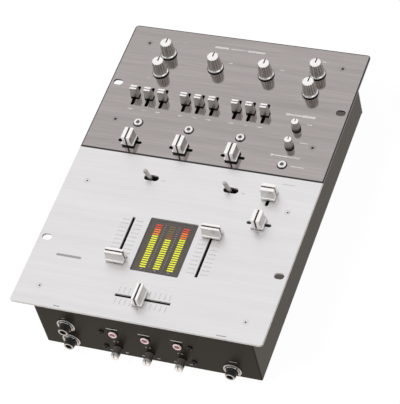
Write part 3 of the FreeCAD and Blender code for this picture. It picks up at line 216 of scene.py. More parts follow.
# Black paint in the lines of caps and knobs; the same black is painted shade under the grey plate's caps, in
# the large knobs' soles, in screw recesses and in the earth screw's slot.
LINE_PAINT_AND_SHADE = grained("black_line_paint_and_shade", "#201E1D", "#161514", 0.6, 0.02, (0.45, 0.6))
# Charcoal ABS, a soft dark grey that is painted shade: on the small knobs' collars and soles, and on the
# front knobs' skirts under the plate's edge.
SHADE_CHARCOAL_ABS = grained("charcoal_abs_painted_shade", "#554F4C", "#45403D", 0.4, 0.03, (0.4, 0.5))
# Tinted acrylic lenses: grey on the plate; dark red on the front wall, the red of their lit lamps painted in
# without a glow.
GREY_LENS = grained("grey_acrylic_lens", "#5C5956", "#4A4744", 1.5, 0.01, (0.25, 0.35))
RED_LIT_LENS = grained("lens_painted_red_lit", "#9E4E54", "#80383E", 1.5, 0.01, (0.2, 0.3))
# Pale pink on white ABS: the rings on the front wall, with the red lenses' light painted on them.
RED_GLOW_PINK_ABS = grained("white_abs_painted_red_glow", "#F3DEDE", "#E5CDCE", 0.5, 0.005, (0.25, 0.35))
# Fibreglass board under green solder mask, with the weave just showing.
BOARD = grained("green_circuit_board", "#2F6B45", "#25573A", 0.8, 0.02, (0.3, 0.45))
# Turned brass pillars: warm, with fine marks of the tool.
BRASS = grained("turned_brass", "#C9A95E", "#AF8F48", 0.3, 0.02, (0.25, 0.35), along=2, Metallic=1.0)
# Transformer tape, capacitor sleeves and the heat sink share a dull dark metal grain.
SUPPLY = grained("supply_metal", "#77736C", "#5B5750", 1.5, 0.03, (0.4, 0.55), Metallic=0.5)
# Screen-printed inks: solid but slightly open at the mesh.
WHITE_INK = grained("white_screen_ink", "#E6E1DF", "#CFCAC8", 0.4, 0.01, (0.5, 0.65))
FAINT_INK = grained("faint_white_ink", "#CBC5C3", "#BAB4B2", 0.4, 0.01, (0.5, 0.65))
GREY_INK = grained("grey_screen_ink", "#C8C6C5", "#BCBAB9", 0.4, 0.01, (0.5, 0.65))
DARK_INK = grained("dark_grey_screen_ink", "#A3A19F", "#939190", 0.4, 0.01, (0.5, 0.65))
SCALE_INK = grained("meter_scale_ink", "#A8A4A2", "#969290", 0.4, 0.01, (0.5, 0.65))
# White and red moulded rings that tell left from right in the phono sockets.
WHITE_RING = grained("white_moulded_ring", "#E4E1DC", "#D2CFCA", 0.8, 0.01, (0.35, 0.45))
RED_RING = grained("red_moulded_ring", "#B3262A", "#971D21", 0.8, 0.01, (0.35, 0.45))
# Matt grey card round the lamp bars.
MASK = grained("lamp_mask_card", "#67625F", "#625D5A", 3, 0.005, (0.6, 0.75))
# Smoked acrylic: a clear grey sheet with a polished face.
SMOKE = grained("smoked_acrylic", "#66615E", "#605B58", 6, 0.002, (0.14, 0.2), Alpha=0.12,
                Specular_IOR_Level=0.25)
# Lamp bars: lit yellow-green, amber and red, and unlit ones whose tint is painted in as a faint glow.
LAMPS = {
    "green": lit_lamp("lamp_yellow_green", "#EAEA24", "#C8CC10", 1.02),
    "amber": lit_lamp("lamp_amber", "#F08A22", "#DC6410", 1.05),
    "red": lit_lamp("lamp_red", "#DE4A10", "#C63406", 0.9),
    "dim_amber": lit_lamp("lamp_dim_amber_painted_glow", "#9A6028", "#7C4C20", 0.8),
    "dim_olive": lit_lamp("lamp_unlit_painted_glow", "#7E7040", "#645836", 0.7),
}


# Places, in millimetres
def at(x, y, z, turn=UPRIGHT):
    return Matrix.Translation((x * MM, y * MM, z * MM)) @ turn


def centre(node):
    low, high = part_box(node)
    return (low + high) / 2 / MM


def extent(node):
    low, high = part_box(node)
    return (high - low) / MM


def on_plate(node, turn=UPRIGHT):
    """The place on the plates' top where a control stands."""
    spot = centre(node)
    return at(spot.x, spot.y, PLATE_TOP, turn)


def on_wall(node):
    """The place on the front wall where a control stands."""
    spot = centre(node)
    return at(spot.x, FRONT_FACE, spot.z, TO_FRONT)


def rise(node):
    """How far a control stands above the plates."""
    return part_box(node)[1].z / MM - PLATE_TOP


# Shapes, in millimetres about their own origin
def turned(profile, steps):
    """A closed shape spun from radius and height points about z."""
    shape = bmesh.new()
    chain = [shape.verts.new((radius * MM, 0, height * MM)) for radius, height in profile]
    sides = [shape.edges.new(pair) for pair in zip(chain, chain[1:])]
    bmesh.ops.spin(shape, geom=chain + sides, cent=(0, 0, 0), axis=(0, 0, 1), angle=math.tau, steps=steps,
                   use_merge=True)
    bmesh.ops.remove_doubles(shape, verts=shape.verts, dist=1e-7)
    bmesh.ops.recalc_face_normals(shape, faces=shape.faces)
    return shape


def flute(shape, share, steps, period, first=0, above=-99, beyond=0.001, within=99):
    """Draw every so many of a turned shape's steps in or out, above a height and between two radii."""
    def chosen(spot):
        step = round(math.atan2(spot.y, spot.x) / math.tau * steps)
        return (step - first) % period == 0 and spot.z > above * MM and beyond < spot.xy.length / MM < within
    points = [point for point in shape.verts if chosen(point.co)]
    bmesh.ops.scale(shape, verts=points, vec=(share, share, 1))


def disc(radius, height, steps):
    """A disc as thin as ink."""
    return turned([(0, height), (radius, height), (radius, height + INK), (0, height + INK)], steps)


def soften(shape, width, least=30, segments=2):
    """Round every edge that turns by more than the least angle."""
    sharp = [edge for edge in shape.edges
             if edge.is_manifold and edge.calc_face_angle() > math.radians(least)]
    bmesh.ops.bevel(shape, geom=sharp, offset=width * MM, segments=segments, profile=0.5, affect="EDGES",
                    material=-1, clamp_overlap=True)
    return shape


def round_corners(shape, radius, segments):
    """Round the upright edges of a block."""
    corners = [edge for edge in shape.edges if abs(edge.verts[0].co.z - edge.verts[1].co.z) > 1e-6]
    bmesh.ops.bevel(shape, geom=corners, offset=radius * MM, segments=segments, profile=0.5, affect="EDGES",
                    material=-1)
    return shape


def bar(size, middle=(0, 0, 0), edge=0.0):
    """A block, with rounded edges if their radius is given."""
    shape = bmesh.new()
    bmesh.ops.create_cube(shape, size=1.0)
    bmesh.ops.scale(shape, verts=shape.verts, vec=[length * MM for length in size])
    bmesh.ops.translate(shape, verts=shape.verts, vec=[place * MM for place in middle])
    return soften(shape, edge) if edge else shape


def drawn(section, length):
    """A section of (across, up) points drawn out along y, centred."""
    shape = bmesh.new()
    ring = [shape.verts.new((across * MM, -length / 2 * MM, up * MM)) for across, up in section]
    grown = bmesh.ops.extrude_face_region(shape, geom=[shape.faces.new(ring)])["geom"]
    tips = [item for item in grown if isinstance(item, bmesh.types.BMVert)]
    bmesh.ops.translate(shape, verts=tips, vec=(0, length * MM, 0))
    bmesh.ops.recalc_face_normals(shape, faces=shape.faces)
    return shape


def stroke(start, end, width):
    """A printed line between two points on a face, with rounded corners."""
    run = Vector(end) - Vector(start)
    spot = (Vector(start) + Vector(end)) / 2
    shape = round_corners(bar((run.length, width, INK)), min(width, run.length) * 0.3, 2)
    turn = Matrix.Rotation(math.atan2(run.y, run.x), 4, "Z")
    bmesh.ops.transform(shape, verts=shape.verts, matrix=at(spot.x, spot.y, INK / 2, turn))
    return shape


# Pieces
def put(piece, shape, place=UPRIGHT, finish=0):
    """Add a shape at its place, in one of the piece's finishes or in the one a test picks for each face."""
    for face in shape.faces:
        face.material_index = finish(face.normal) if callable(finish) else finish
        face.smooth = True
    for edge in shape.edges:
        if edge.is_manifold and edge.calc_face_angle() > CRISP:
            edge.smooth = False
    bmesh.ops.transform(shape, verts=shape.verts, matrix=place)
    mesh = bpy.data.meshes.new("shape")
    shape.to_mesh(mesh)
    piece.from_mesh(mesh)
    bpy.data.meshes.remove(mesh)
    shape.free()


def hand_over(piece, name, body, slot, finishes, *stands_for):
    """Make the piece an object that rides on its body and stands for its nodes."""
    mesh = bpy.data.meshes.new(name)
    piece.to_mesh(mesh)
    piece.free()
    for finish in finishes:
        mesh.materials.append(finish)
    item = bpy.data.objects.new(name, mesh)
    bpy.context.scene.collection.objects.link(item)
    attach(item, body)
    if stands_for:
        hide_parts(*stands_for)


# Finishes of knobs and caps, and the tests that pick one by the way a face looks: faces that look up, and
# the caps' ends, get the painted highlight
FLANK, LINE_AND_SHADE, SHAFT, HIGHLIGHT, COLLAR, SOLE = range(6)
LARGE_KNOB = (SILVER_ABS, LINE_PAINT_AND_SHADE, BLACK_OXIDE_AND_SHADE, HIGHLIGHT_ABS, POLISHED_ABS, LINE_PAINT_AND_SHADE)
SMALL_KNOB = (SILVER_ABS, LINE_PAINT_AND_SHADE, BLACK_OXIDE_AND_SHADE, HIGHLIGHT_ABS, SHADE_CHARCOAL_ABS, SHADE_CHARCOAL_ABS)
FRONT_KNOB = (PALE_LIT_ABS, LINE_PAINT_AND_SHADE, BLACK_OXIDE_AND_SHADE, HIGHLIGHT_ABS, SHADE_CHARCOAL_ABS)
GREY_SIDE_CAP = (SILVER_ABS, LINE_PAINT_AND_SHADE, BLACK_OXIDE_AND_SHADE, HIGHLIGHT_ABS)
SILVER_SIDE_CAP = (PALE_LIT_ABS, LINE_PAINT_AND_SHADE, BLACK_OXIDE_AND_SHADE, HIGHLIGHT_ABS)


def highlight_top(way):
    return HIGHLIGHT if way.z > 0.6 else FLANK


def highlight_top_and_ends(way):
    return HIGHLIGHT if way.z > 0.6 or abs(way.y) > 0.9 else FLANK


# Knobs
def shaft_end(radius):
    """The end of a control's shaft, from below the face up into the knob."""
    return turned([(0, -9), (radius, -9), (radius, 0.8), (0, 0.8)], 32)


def knob(node, finishes, waist, top, flutes, cut, shaft):
    """A fluted knob over a flared collar and a flat dark sole, which is painted shade of the gap under it,
    with a dished top and a pointer line.
    """
    place, height, flange, steps = on_plate(node), rise(node), extent(node).x / 2, flutes * 6
    piece = bmesh.new()
    sole = turned([
        (shaft, HOVER), (flange - 0.2, HOVER), (flange, 0.8), (flange, 1.15), (flange - 0.2, 1.3),
        (shaft, 1.3)], steps)
    put(piece, sole, place, SOLE)
    collar = turned([
        (shaft, 1.25), (flange - 0.5, 1.25), (flange - 0.35, 1.4), (flange - 0.5, 1.8), (waist + 0.3, 2.3),
        (waist, 2.7), (shaft, 2.7)], steps)
    put(piece, collar, place, COLLAR)
    barrel = turned([
        (shaft, 2.4), (waist - 0.3, 2.4), (waist, 2.6), ((waist + top) / 2, (2 + height) / 2),
        (top, height - 0.45), (top - 0.1, height - 0.12), (top - 0.3, height), (top - 0.7, height - 0.08),
        (top * 0.5, height - 0.14), (0, height - 0.16)], steps)
    for first, share in ((0, 1.0), (1, 0.55), (5, 0.55)):
        deep = 1 - cut * share / ((waist + top) / 2)
        flute(barrel, deep, steps, 6, first, above=2.5, beyond=top * 0.8)
    put(piece, barrel, place, highlight_top)
    line = top * 0.2
    put(piece, bar((line, top * 0.95, 0.3), (0, top * 0.5, height - 0.08), 0.08), place, LINE_AND_SHADE)
    put(piece, bar((line, 0.7, 2.6), (0, top - 0.05, height - 1.4), 0.08), place, LINE_AND_SHADE)
    put(piece, shaft_end(shaft), place, SHAFT)
    hand_over(piece, f"{node}_moulding", node, "knob_plastic", finishes, node)


def front_knob(node):
    """A charcoal skirt, painted shade from the plate above, with a bright end cap, as seen on the front
    wall.
    """
    place, steps, shaft, piece = on_wall(node), 72, 2.0, bmesh.new()
    reach = FRONT_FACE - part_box(node)[0].y / MM
    waist = reach * 0.68
    skirt = turned([
        (shaft, HOVER), (4.4, HOVER), (4.6, 0.8), (4.6, 1.4), (4.3, 1.6), (4.2, waist - 0.2), (4.0, waist),
        (shaft, waist)], steps)
    flute(skirt, 0.94, steps, 6, above=1.5)
    put(piece, skirt, place, COLLAR)
    cap = turned([
        (shaft, waist - 0.1), (4.1, waist - 0.1), (4.2, waist + 0.1), (4.05, reach - 0.5),
        (3.8, reach - 0.1), (3.4, reach), (2.8, reach - 0.1), (0, reach - 0.15)], steps)
    flute(cap, 0.95, steps, 6, above=waist, beyond=3.6)
    put(piece, cap, place, highlight_top)
    put(piece, bar((0.8, 3.6, 0.3), (0, 2.0, reach - 0.15), 0.08), place, LINE_AND_SHADE)
    put(piece, bar((0.8, 0.4, 2.2), (0, 4.05, reach - 1.3), 0.08), place, LINE_AND_SHADE)
    put(piece, shaft_end(shaft), place, SHAFT)
    hand_over(piece, f"{node}_moulding", node, "front_knob_plastic", FRONT_KNOB, node)


for node in ("mic_knob", "gain_knob_1", "gain_knob_2", "gain_knob_3", "master_knob", "booth_knob"):
    knob(node, LARGE_KNOB, waist=7.3, top=6.0, flutes=16, cut=0.9, shaft=3.0)
for node in ("phones_level_knob", "phones_mix_knob"):
    knob(node, SMALL_KNOB, waist=4.3, top=3.8, flutes=12, cut=0.35, shaft=2.0)
for side in ("left", "middle", "right"):
    front_knob(f"front_knob_{side}")


# Slide controls
def fader_cap(node, ridge, turn, foot_finish, finishes):
    """Two scooped halves on a foot, round a black core that shows as a line over the ridge and the ends."""
    place, top, size = on_plate(node, turn), rise(node), extent(node)
    base, length = (size.x / 2, size.y) if turn is UPRIGHT else (size.y / 2, size.x)
    sole, lip, shoulder, line = 2.2, 3.2, top - 1.0, 0.8
    waist, scoop = base - 0.8, 1.1
    section = [(line, sole), (base, sole), (base, lip), (waist, lip)]
    for share in (step / 8 for step in range(1, 8)):
        hollow = scoop * math.sin(math.pi * share)
        section.append((waist + (ridge - waist) * share - hollow, lip + (shoulder - lip) * share))
    section += [(ridge, shoulder), (ridge, top), (line, top)]
    piece = bmesh.new()
    for half_turn in (0, 180):
        half = soften(drawn(section, length), 0.25, 40)
        put(piece, half, place @ rotated(half_turn, "Z"), highlight_top_and_ends)
    # The foot takes the given finish, which on the grey plate is black, a painted shade under the cap.
    foot = bar((2 * base - 0.2, length - 0.2, sole - HOVER + 0.1), (0, 0, (sole + HOVER + 0.1) / 2), 0.2)
    put(piece, foot, place, foot_finish)
    core = bar((2 * line + 0.3, length - 0.2, top - sole - 0.3), (0, 0, (top + sole - 0.3) / 2), 0.1)
    put(piece, core, place, LINE_AND_SHADE)
    tongue = bar((4.0, 1.2, 9.6), (0, 0, -3.9), 0.2)
    put(piece, tongue, place, SHAFT)
    hand_over(piece, f"{node}_cap", node, "fader_cap_plastic", finishes, node)


def tone_lever(node):
    """A tall cap on a black foot that is painted shade under it, flared below, that leans in to a top of two
    bars with a groove between.
    """
    place, top, width = on_plate(node), rise(node), extent(node).x
    sole, floor, groove = 1.6, top - 0.9, 0.4
    waist = sole + (top - sole) * 0.35
    section = [
        (-3.3, sole), (3.3, sole), (2.9, waist), (2.6, top), (groove, top), (groove, floor),
        (-groove, floor), (-groove, top), (-2.6, top), (-2.9, waist)]
    piece, cap = bmesh.new(), drawn(section, width)
    for height, spread in ((sole, 1.3), (waist, 1.08)):
        ring = [point for point in cap.verts if abs(point.co.z - height * MM) < 1e-6]
        bmesh.ops.scale(cap, verts=ring, vec=(1, spread, 1))
    put(piece, soften(cap, 0.22, 40), place @ ACROSS, highlight_top)
    foot = bar((width * 1.26, 6.4, sole - HOVER + 0.1), (0, 0, (sole + HOVER + 0.1) / 2), 0.2)
    put(piece, foot, place, LINE_AND_SHADE)
    put(piece, bar((width - 0.4, 2 * groove - 0.1, 0.3), (0, 0, floor + 0.1), 0.05), place, LINE_AND_SHADE)
    tongue = bar((1.2, 4.0, 9.6), (0, 0, -3.9), 0.2)
    put(piece, tongue, place, SHAFT)
    hand_over(piece, f"{node}_cap", node, "fader_cap_plastic", GREY_SIDE_CAP, node)


WIDE_RIDGE, NARROW_RIDGE = 4.6, 3.3
# The pan caps stand on black feet: painted shade under them on the grey plate.
for node in ("pan_fader_1", "pan_fader_2", "pan_fader_3"):
    fader_cap(node, WIDE_RIDGE, UPRIGHT, LINE_AND_SHADE, GREY_SIDE_CAP)
for node, ridge, turn in (
        ("curve_fader_front", WIDE_RIDGE, UPRIGHT), ("curve_fader_rear", WIDE_RIDGE, ACROSS),
        ("line_fader_left", NARROW_RIDGE, ACROSS), ("line_fader_right", NARROW_RIDGE, ACROSS),
        ("crossfader", NARROW_RIDGE, UPRIGHT)):
    fader_cap(node, ridge, turn, FLANK, SILVER_SIDE_CAP)
for channel in (1, 2, 3):
    for band in ("low", "mid", "high"):
        tone_lever(f"eq_{band}_lever_{channel}")

# Push-buttons and toggles
RING, LENS, SKIRT = range(3)


def button(node, place, finishes, lens):
    """A rounded ring on a black skirt, round a domed lens of the given radius."""
    piece, wide = bmesh.new(), extent(node).x / 2
    skirt = [(0, -3), (wide - 0.1, -3), (wide, -2.9), (wide, 0.9), (wide - 0.1, 1.0), (0, 1.0)]
    put(piece, turned(skirt, 48), place, SKIRT)
    crest, span = (wide + lens) / 2, (wide - lens) / 2 - 0.1
    arch = [math.pi * step / 10 for step in range(11)]
    bow = [(crest + span * math.cos(turn), 1.2 + 1.2 * math.sin(turn)) for turn in arch]
    put(piece, turned([(0, 0.95), (crest + span, 0.95)] + bow + [(0, 1.2)], 48), place, RING)
    dome = [(0, 1.1), (lens, 1.1), (lens - 0.05, 1.7), (lens * 0.8, 1.95), (lens * 0.45, 2.1), (0, 2.15)]
    put(piece, turned(dome, 32), place, LENS)
    stem = [(0, -7), (1.9, -7), (1.9, -2.9), (0, -2.9)]
    put(piece, turned(stem, 24), place, SKIRT)
    hand_over(piece, f"{node}_cap", node, "button_plastic", finishes, node)


def toggle(node, x):
    """A steel lever on its ball, leaning to the left at rest."""
    piece = bmesh.new()
    lever = turned([
        (0, -2.3), (1.3, -1.9), (2.1, -0.95), (2.3, 0), (2.3, 0.95), (2.25, 2.2), (2.1, 8), (2.2, 13.6),
        (2.05, 14.7), (1.6, 15.5), (0.9, 15.9), (0, 16)], 32)
    put(piece, lever, at(x, centre(node).y, PLATE_TOP - 4, rotated(-19, "Y")))
    hand_over(piece, f"{node}_lever", node, "chrome_trim", (TOGGLE_STEEL,), node)


for node in ("cue_button_1", "cue_button_2", "cue_button_3", "effect_button"):
    button(node, on_plate(node), (POLISHED_ABS, GREY_LENS, BLACK_NYLON), lens=1.6)
for side in ("left", "middle", "right"):
    node = f"front_button_{side}"
    button(node, on_wall(node), (RED_GLOW_PINK_ABS, RED_LIT_LENS, BLACK_NYLON), lens=2.5)
toggle("input_toggle_left", -CHANNEL_X)
toggle("input_toggle_right", CHANNEL_X)

# Screws
FRONT_MIDDLE = centre("front_button_middle").x
PAN = [
    (0, 0.7), (0.8, 0.7), (1.3, 0.8), (1.35, 1.75), (1.7, 1.8), (2.2, 1.65), (2.75, 1.1), (2.9, 0.3),
    (2.85, 0), (1.5, 0), (1.5, -7.5), (0, -8)]


def countersunk(recess):
    """Outline of a countersunk screw, by the radius of its recess."""
    return [
        (0, -1.2), (recess * 0.5, -1.2), (recess, -1.1), (recess + 0.02, -0.06), (3.3, -0.02), (3.5, -0.06),
        (1.6, -1.9), (1.5, -7.5), (0, -8)]


def screw(outline, top):
    """A screw spun from its outline, with a six-lobed recess in its top."""
    shape = turned(outline, 48)
    flute(shape, 1.16, 48, 8, above=top - 1.3, within=1.4)
    return shape


def plate_screws():
    """Pairs of screws in the plates, with wider recesses in the grey one, and a black disc down in each
    recess as painted shade.
    """
    grey, silver, dark = range(3)
    piece = bmesh.new()
    for x in (-104, 104):
        for y, recess, finish in (
                (155.8, 1.35, grey), (52.8, 1.35, grey), (-27.4, 0.85, silver), (-155.8, 0.85, silver)):
            place = at(x, y, PLATE_TOP)
            put(piece, screw(countersunk(recess), 0), place, finish)
            # A black disc down in the recess is painted shade.
            put(piece, disc(recess - 0.05, -0.4, 24), place, dark)
    finishes = (GREY_SCREW, SILVER_SCREW, LINE_PAINT_AND_SHADE)
    hand_over(piece, "plate_screw_heads", "case", "plated_screw", finishes, "plate_screws")


def case_screws():
    """Pan heads on the front wall, the rear panel and the feet."""
    places = [at(FRONT_MIDDLE + x, FRONT_FACE, z, TO_FRONT) for x in (-45.4, 45.4) for z in (19, 43)]
    places += [at(x, REAR_FACE, z, TO_REAR) for x in (-105.7, 105.7) for z in (20, 73)]
    places += [at(x, y, 4, HEAD_DOWN) for x in (-87.2, 87.2) for y in (-143.3, 143.3)]
    piece = bmesh.new()
    for place in places:
        put(piece, screw(PAN, 1.8), place, 0)
        # A black disc in the recess is painted shade.
        put(piece, disc(1.25, 0.9, 24), place, 1)
    hand_over(piece, "case_screw_heads", "case", "black_screw", (BLACK_OXIDE_AND_SHADE, LINE_PAINT_AND_SHADE), "case_screws")


plate_screws()
case_screws()

# Printed marks
SOLID, FAINT = 0, 1


def level(left, right, height, width, ink=SOLID):
    """A level mark: its start, end, width and ink."""
    return (left, height), (right, height), width, ink


def printed(name, slot, face, inks, marks, dots=()):
    """Marks and dots printed on a face."""
    piece = bmesh.new()
    for start, end, width, ink in marks:
        put(piece, stroke(start, end, width), face, ink)
    for x, y, ink in dots:
        put(piece, disc(0.85, 0, 16), face @ at(x, y, 0), ink)
    hand_over(piece, name, "case", slot, inks)


# Level meter
METER_Y = centre("meter_window").y
PANE_LOW, PANE_HIGH = PLATE_TOP - 1.2, PLATE_TOP - 0.2
LAMP_PITCH = 2.6
LAMP_ROWS = [METER_Y + (row - 9.5) * LAMP_PITCH for row in range(20)]
LAMP_COLUMNS = (-14, 0, 14)


def lamp_finish(column, row):
    """Outer columns are lit to the top, the middle one part of the way."""
    if column == 1 and row > 13:
        return "dim_amber" if row < 16 else "dim_olive"
    return "green" if row < 15 else "amber" if row < 18 else "red"


def lamp_bars():
    """Three columns of lamp bars, which show their colour only on top."""
    piece, tints = bmesh.new(), list(LAMPS)
    for column, x in enumerate(LAMP_COLUMNS):
        for row, y in enumerate(LAMP_ROWS):
            tint = tints.index(lamp_finish(column, row))
            lamp = bar((6.4, 1.6, 13), (x, y, PANE_LOW - 6.55), 0.25)
            put(piece, lamp, UPRIGHT, lambda way: tint if way.z > 0.5 else len(tints))
    finishes = (*LAMPS.values(), CONTROL_BODY)
    hand_over(piece, "meter_lamp_bars", "case", "lamp_plastic", finishes, "meter_lamps")


def lamp_mask():
    """The card round the lamp bars."""
    piece = bmesh.new()
    put(piece, bar((53, 67, 0.8), (0, METER_Y, PANE_LOW - 0.9), 0.2))
    hand_over(piece, "meter_mask", "case", "lamp_plastic", (MASK,))


def smoked_pane():
    """The window over the lamps, with rounded corners."""
    piece = bmesh.new()
    pane = bar((48.7, 62.7, PANE_HIGH - PANE_LOW), (0, METER_Y, (PANE_HIGH + PANE_LOW) / 2))
    put(piece, soften(round_corners(pane, 1.5, 6), 0.12, 60, 1))
    hand_over(piece, "meter_pane", "case", "smoked_window", (SMOKE,), "meter_window")


def meter_scale():
    """Ticks between the columns and a short bar below each of them."""
    marks = [level(x - 0.6, x + 0.6, y, 0.5) for x in (-7, 7) for y in LAMP_ROWS]
    marks += [level(x - 1.2, x + 1.2, METER_Y - 28.2, 0.8) for x in LAMP_COLUMNS]
    printed("meter_scale_print", "lamp_plastic", at(0, 0, PANE_HIGH), (SCALE_INK,), marks)


lamp_bars()
lamp_mask()
smoked_pane()
meter_scale()

# Marks of the plates and the front wall: left, right, height or place along y, width and ink
REAR_PLATE_BARS = [
    (-34, -19, 162.1, 2.5, SOLID), (-17, 0, 162.1, 1.0, SOLID), (1.4, 20.2, 162.1, 2.3, SOLID),
    (65.5, 69.6, 89.4, 2.6, SOLID), (69.6, 82, 89.4, 1.6, SOLID), (82, 95.9, 89.4, 2.8, SOLID),
    (65.5, 69, 37.7, 2.6, SOLID), (69, 82, 37.7, 1.4, SOLID), (82, 95.8, 37.7, 2.2, FAINT),
    (-14.1, -8.7, 143.6, 1.2, SOLID), (40.9, 46.4, 143.4, 1.2, SOLID), (90.1, 95.5, 79.9, 1.2, SOLID),
    (89.7, 97.4, 56.6, 1.0, SOLID), (89.9, 103.4, 27, 0.8, SOLID), (81.4, 86, 161.4, 1.4, SOLID),
    (86.8, 95.4, 161.8, 0.7, FAINT), (70.4, 75.6, 110.2, 1.3, FAINT), (-79.9, -64.4, 162.3, 0.7, FAINT),
    (-78.9, -68.6, 159.6, 0.7, FAINT), (-90.2, -87.2, 110, 1.0, FAINT)]
FRONT_PLATE_BARS = [
    (88.8, 101, 4.6, 0.8, FAINT), (-30.2, -26.2, -13.6, 0.8, FAINT), (52.3, 56.3, -13.6, 0.8, FAINT),
    (-101.5, -75.6, -117.8, 2.6, SOLID), (-82.2, -75.8, -174.9, 1.0, SOLID),
    (81.5, 91.3, -174.9, 1.0, SOLID)]
FRONT_WALL_BARS = [(81.7, 89.7, 32.5, 0.7, FAINT), (-85.8, -81.6, 54, 0.7, FAINT)]


def rear_plate_print():
    """Bars beside the controls, and one below each tone lever of the three groups."""
    marks = [level(*measures) for measures in REAR_PLATE_BARS]
    for group in (-78.8, -24.5, 29.8):
        for step in (-15, 0, 15):
            x = group + step
            marks.append(level(x - 2.6, x + 2.2, 68.3, 1.0, SOLID if step else FAINT))
    printed("rear_plate_print", "dark_plate", at(0, 0, PLATE_TOP), (WHITE_INK, FAINT_INK), marks)


def front_plate_print():
    """Bars, and eleven ticks on both sides of each long fader's slot."""
    marks = [level(*measures) for measures in FRONT_PLATE_BARS]
    for x in (-CHANNEL_X, CHANNEL_X):
        for y in (-65 - 4.8 * tick for tick in range(11)):
            marks += [level(x + 3.2 * way, x + 11 * way, y, 0.75, FAINT) for way in (-1, 1)]
    slot_y = -151.1
    for x in (-25.6 + 5.12 * tick for tick in range(11)):
        marks += [((x, slot_y + 3.4 * way), (x, slot_y + 10 * way), 0.7, FAINT) for way in (-1, 1)]
    printed("front_plate_print", "silver_plate", at(0, 0, PLATE_TOP), (DARK_INK, GREY_INK), marks)


def front_wall_print():
    """A bar over each button, two dots below it, and a short bar at each end of a knob's turn."""
    marks, dots = [level(*measures) for measures in FRONT_WALL_BARS], []
    for x in (FRONT_MIDDLE - 33, FRONT_MIDDLE, FRONT_MIDDLE + 33):
        marks.append(level(x - 6, x + 6, 50.6, 0.8))
        for way in (-1, 1):
            dots.append((x + 1.9 * way, 29.8, FAINT))
            marks.append(level(x + 8 * way - 1.5, x + 8 * way + 1.5, 13.6, 0.7))
    wall = at(0, FRONT_FACE, 0, TO_FRONT)
    printed("front_wall_print", "black_case", wall, (WHITE_INK, SCALE_INK), marks, dots)


rear_plate_print()
front_plate_print()
front_wall_print()

# Sockets
SOCKET_ROWS = (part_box("phono_sockets")[0].z / MM + 6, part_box("phono_sockets")[1].z / MM - 6)
PHONO_COLUMNS = [27 - 19.5 * column for column in range(7)]
REAR_JACK_X = 50
JACK_PLACES = [at(x, FRONT_FACE, z, TO_FRONT) for x, z in ((-83, 43), (-83, 19), (83, 19))]
JACK_PLACES += [at(REAR_JACK_X, REAR_FACE, z, TO_REAR) for z in SOCKET_ROWS]
JACK_BORE = 3.25


def jack_thread(start, end, wide, narrow, pitch):
    """Radius and height points of a moulded thread that tapers to the end."""
    count = int((end - start) / pitch)
    points = []
    for turn in range(count):
        outer = wide + (narrow - wide) * turn / count
        points += [(outer - 0.28, start + pitch * turn), (outer, start + pitch * (turn + 0.35)),
                   (outer, start + pitch * (turn + 0.65))]
    return points


def jack_barrels():
    """Threaded barrels with an open bore, from the body behind the wall to the end ring."""
    outline = [(0, -28), (7.4, -28), (7.4, -1.2), (5.9, -1.2)] + jack_thread(0, 8.4, 5.9, 5.0, 0.84)
    outline += [(4.75, 8.4), (3.3, 8.4), (JACK_BORE, 8.2), (JACK_BORE, -23.6), (0, -23.6)]
    piece = bmesh.new()
    for place in JACK_PLACES:
        put(piece, turned(outline, 48), place)
    hand_over(piece, "jack_barrels", "case", "jack_plastic", (BLACK_NYLON,), "jack_sockets")


def jack_dress_nuts():
    """On each jack a ridged washer with a dark groove, a nut with four notches, and the bright end ring; the
    groove and notches are dark pieces, painted shade.
    """
    bright, dark = 0, 1
    groove = [(7.4, 1.3), (7.9, 1.3), (7.9, 1.42), (7.4, 1.42), (7.4, 1.3)]
    nut = [
        (5.95, 0), (7.5, 0), (7.6, 0.2), (7.6, 2.2), (7.4, 2.5), (7.1, 2.6), (6.6, 2.5), (6.2, 2.1),
        (5.95, 1.8), (5.95, 0)]
    end_ring = [
        (JACK_BORE, 8.4), (4.6, 8.4), (4.8, 8.55), (4.8, 8.85), (4.6, 9.05), (4.3, 9.1), (3.6, 9.1),
        (3.35, 9.0), (JACK_BORE, 8.8), (JACK_BORE, 8.4)]
    piece = bmesh.new()
    for place in JACK_PLACES:
        washer = turned([
            (7.2, 0), (9.1, 0), (9.3, 0.2), (9.3, 1.0), (9.0, 1.3), (8.5, 1.35), (7.2, 1.35), (7.2, 0)], 96)
        flute(washer, 0.97, 96, 4, beyond=8.9)
        put(piece, washer, place, bright)
        # The dark groove ring is painted shade.
        put(piece, turned(groove, 48), place, dark)
        put(piece, turned(nut, 48), place, bright)
        # The notches are dark blocks: painted shade.
        for quarter in (45, 135, 225, 315):
            notch = bar((1.9, 1.5, 0.7), (6.9, 0, 2.4), 0.12)
            put(piece, notch, place @ rotated(quarter, "Z"), dark)
        put(piece, turned(end_ring, 48), place, bright)
    hand_over(piece, "jack_dress_nuts", "case", "chrome_trim", (CHROME, BLACK_OXIDE_AND_SHADE), "jack_nuts")


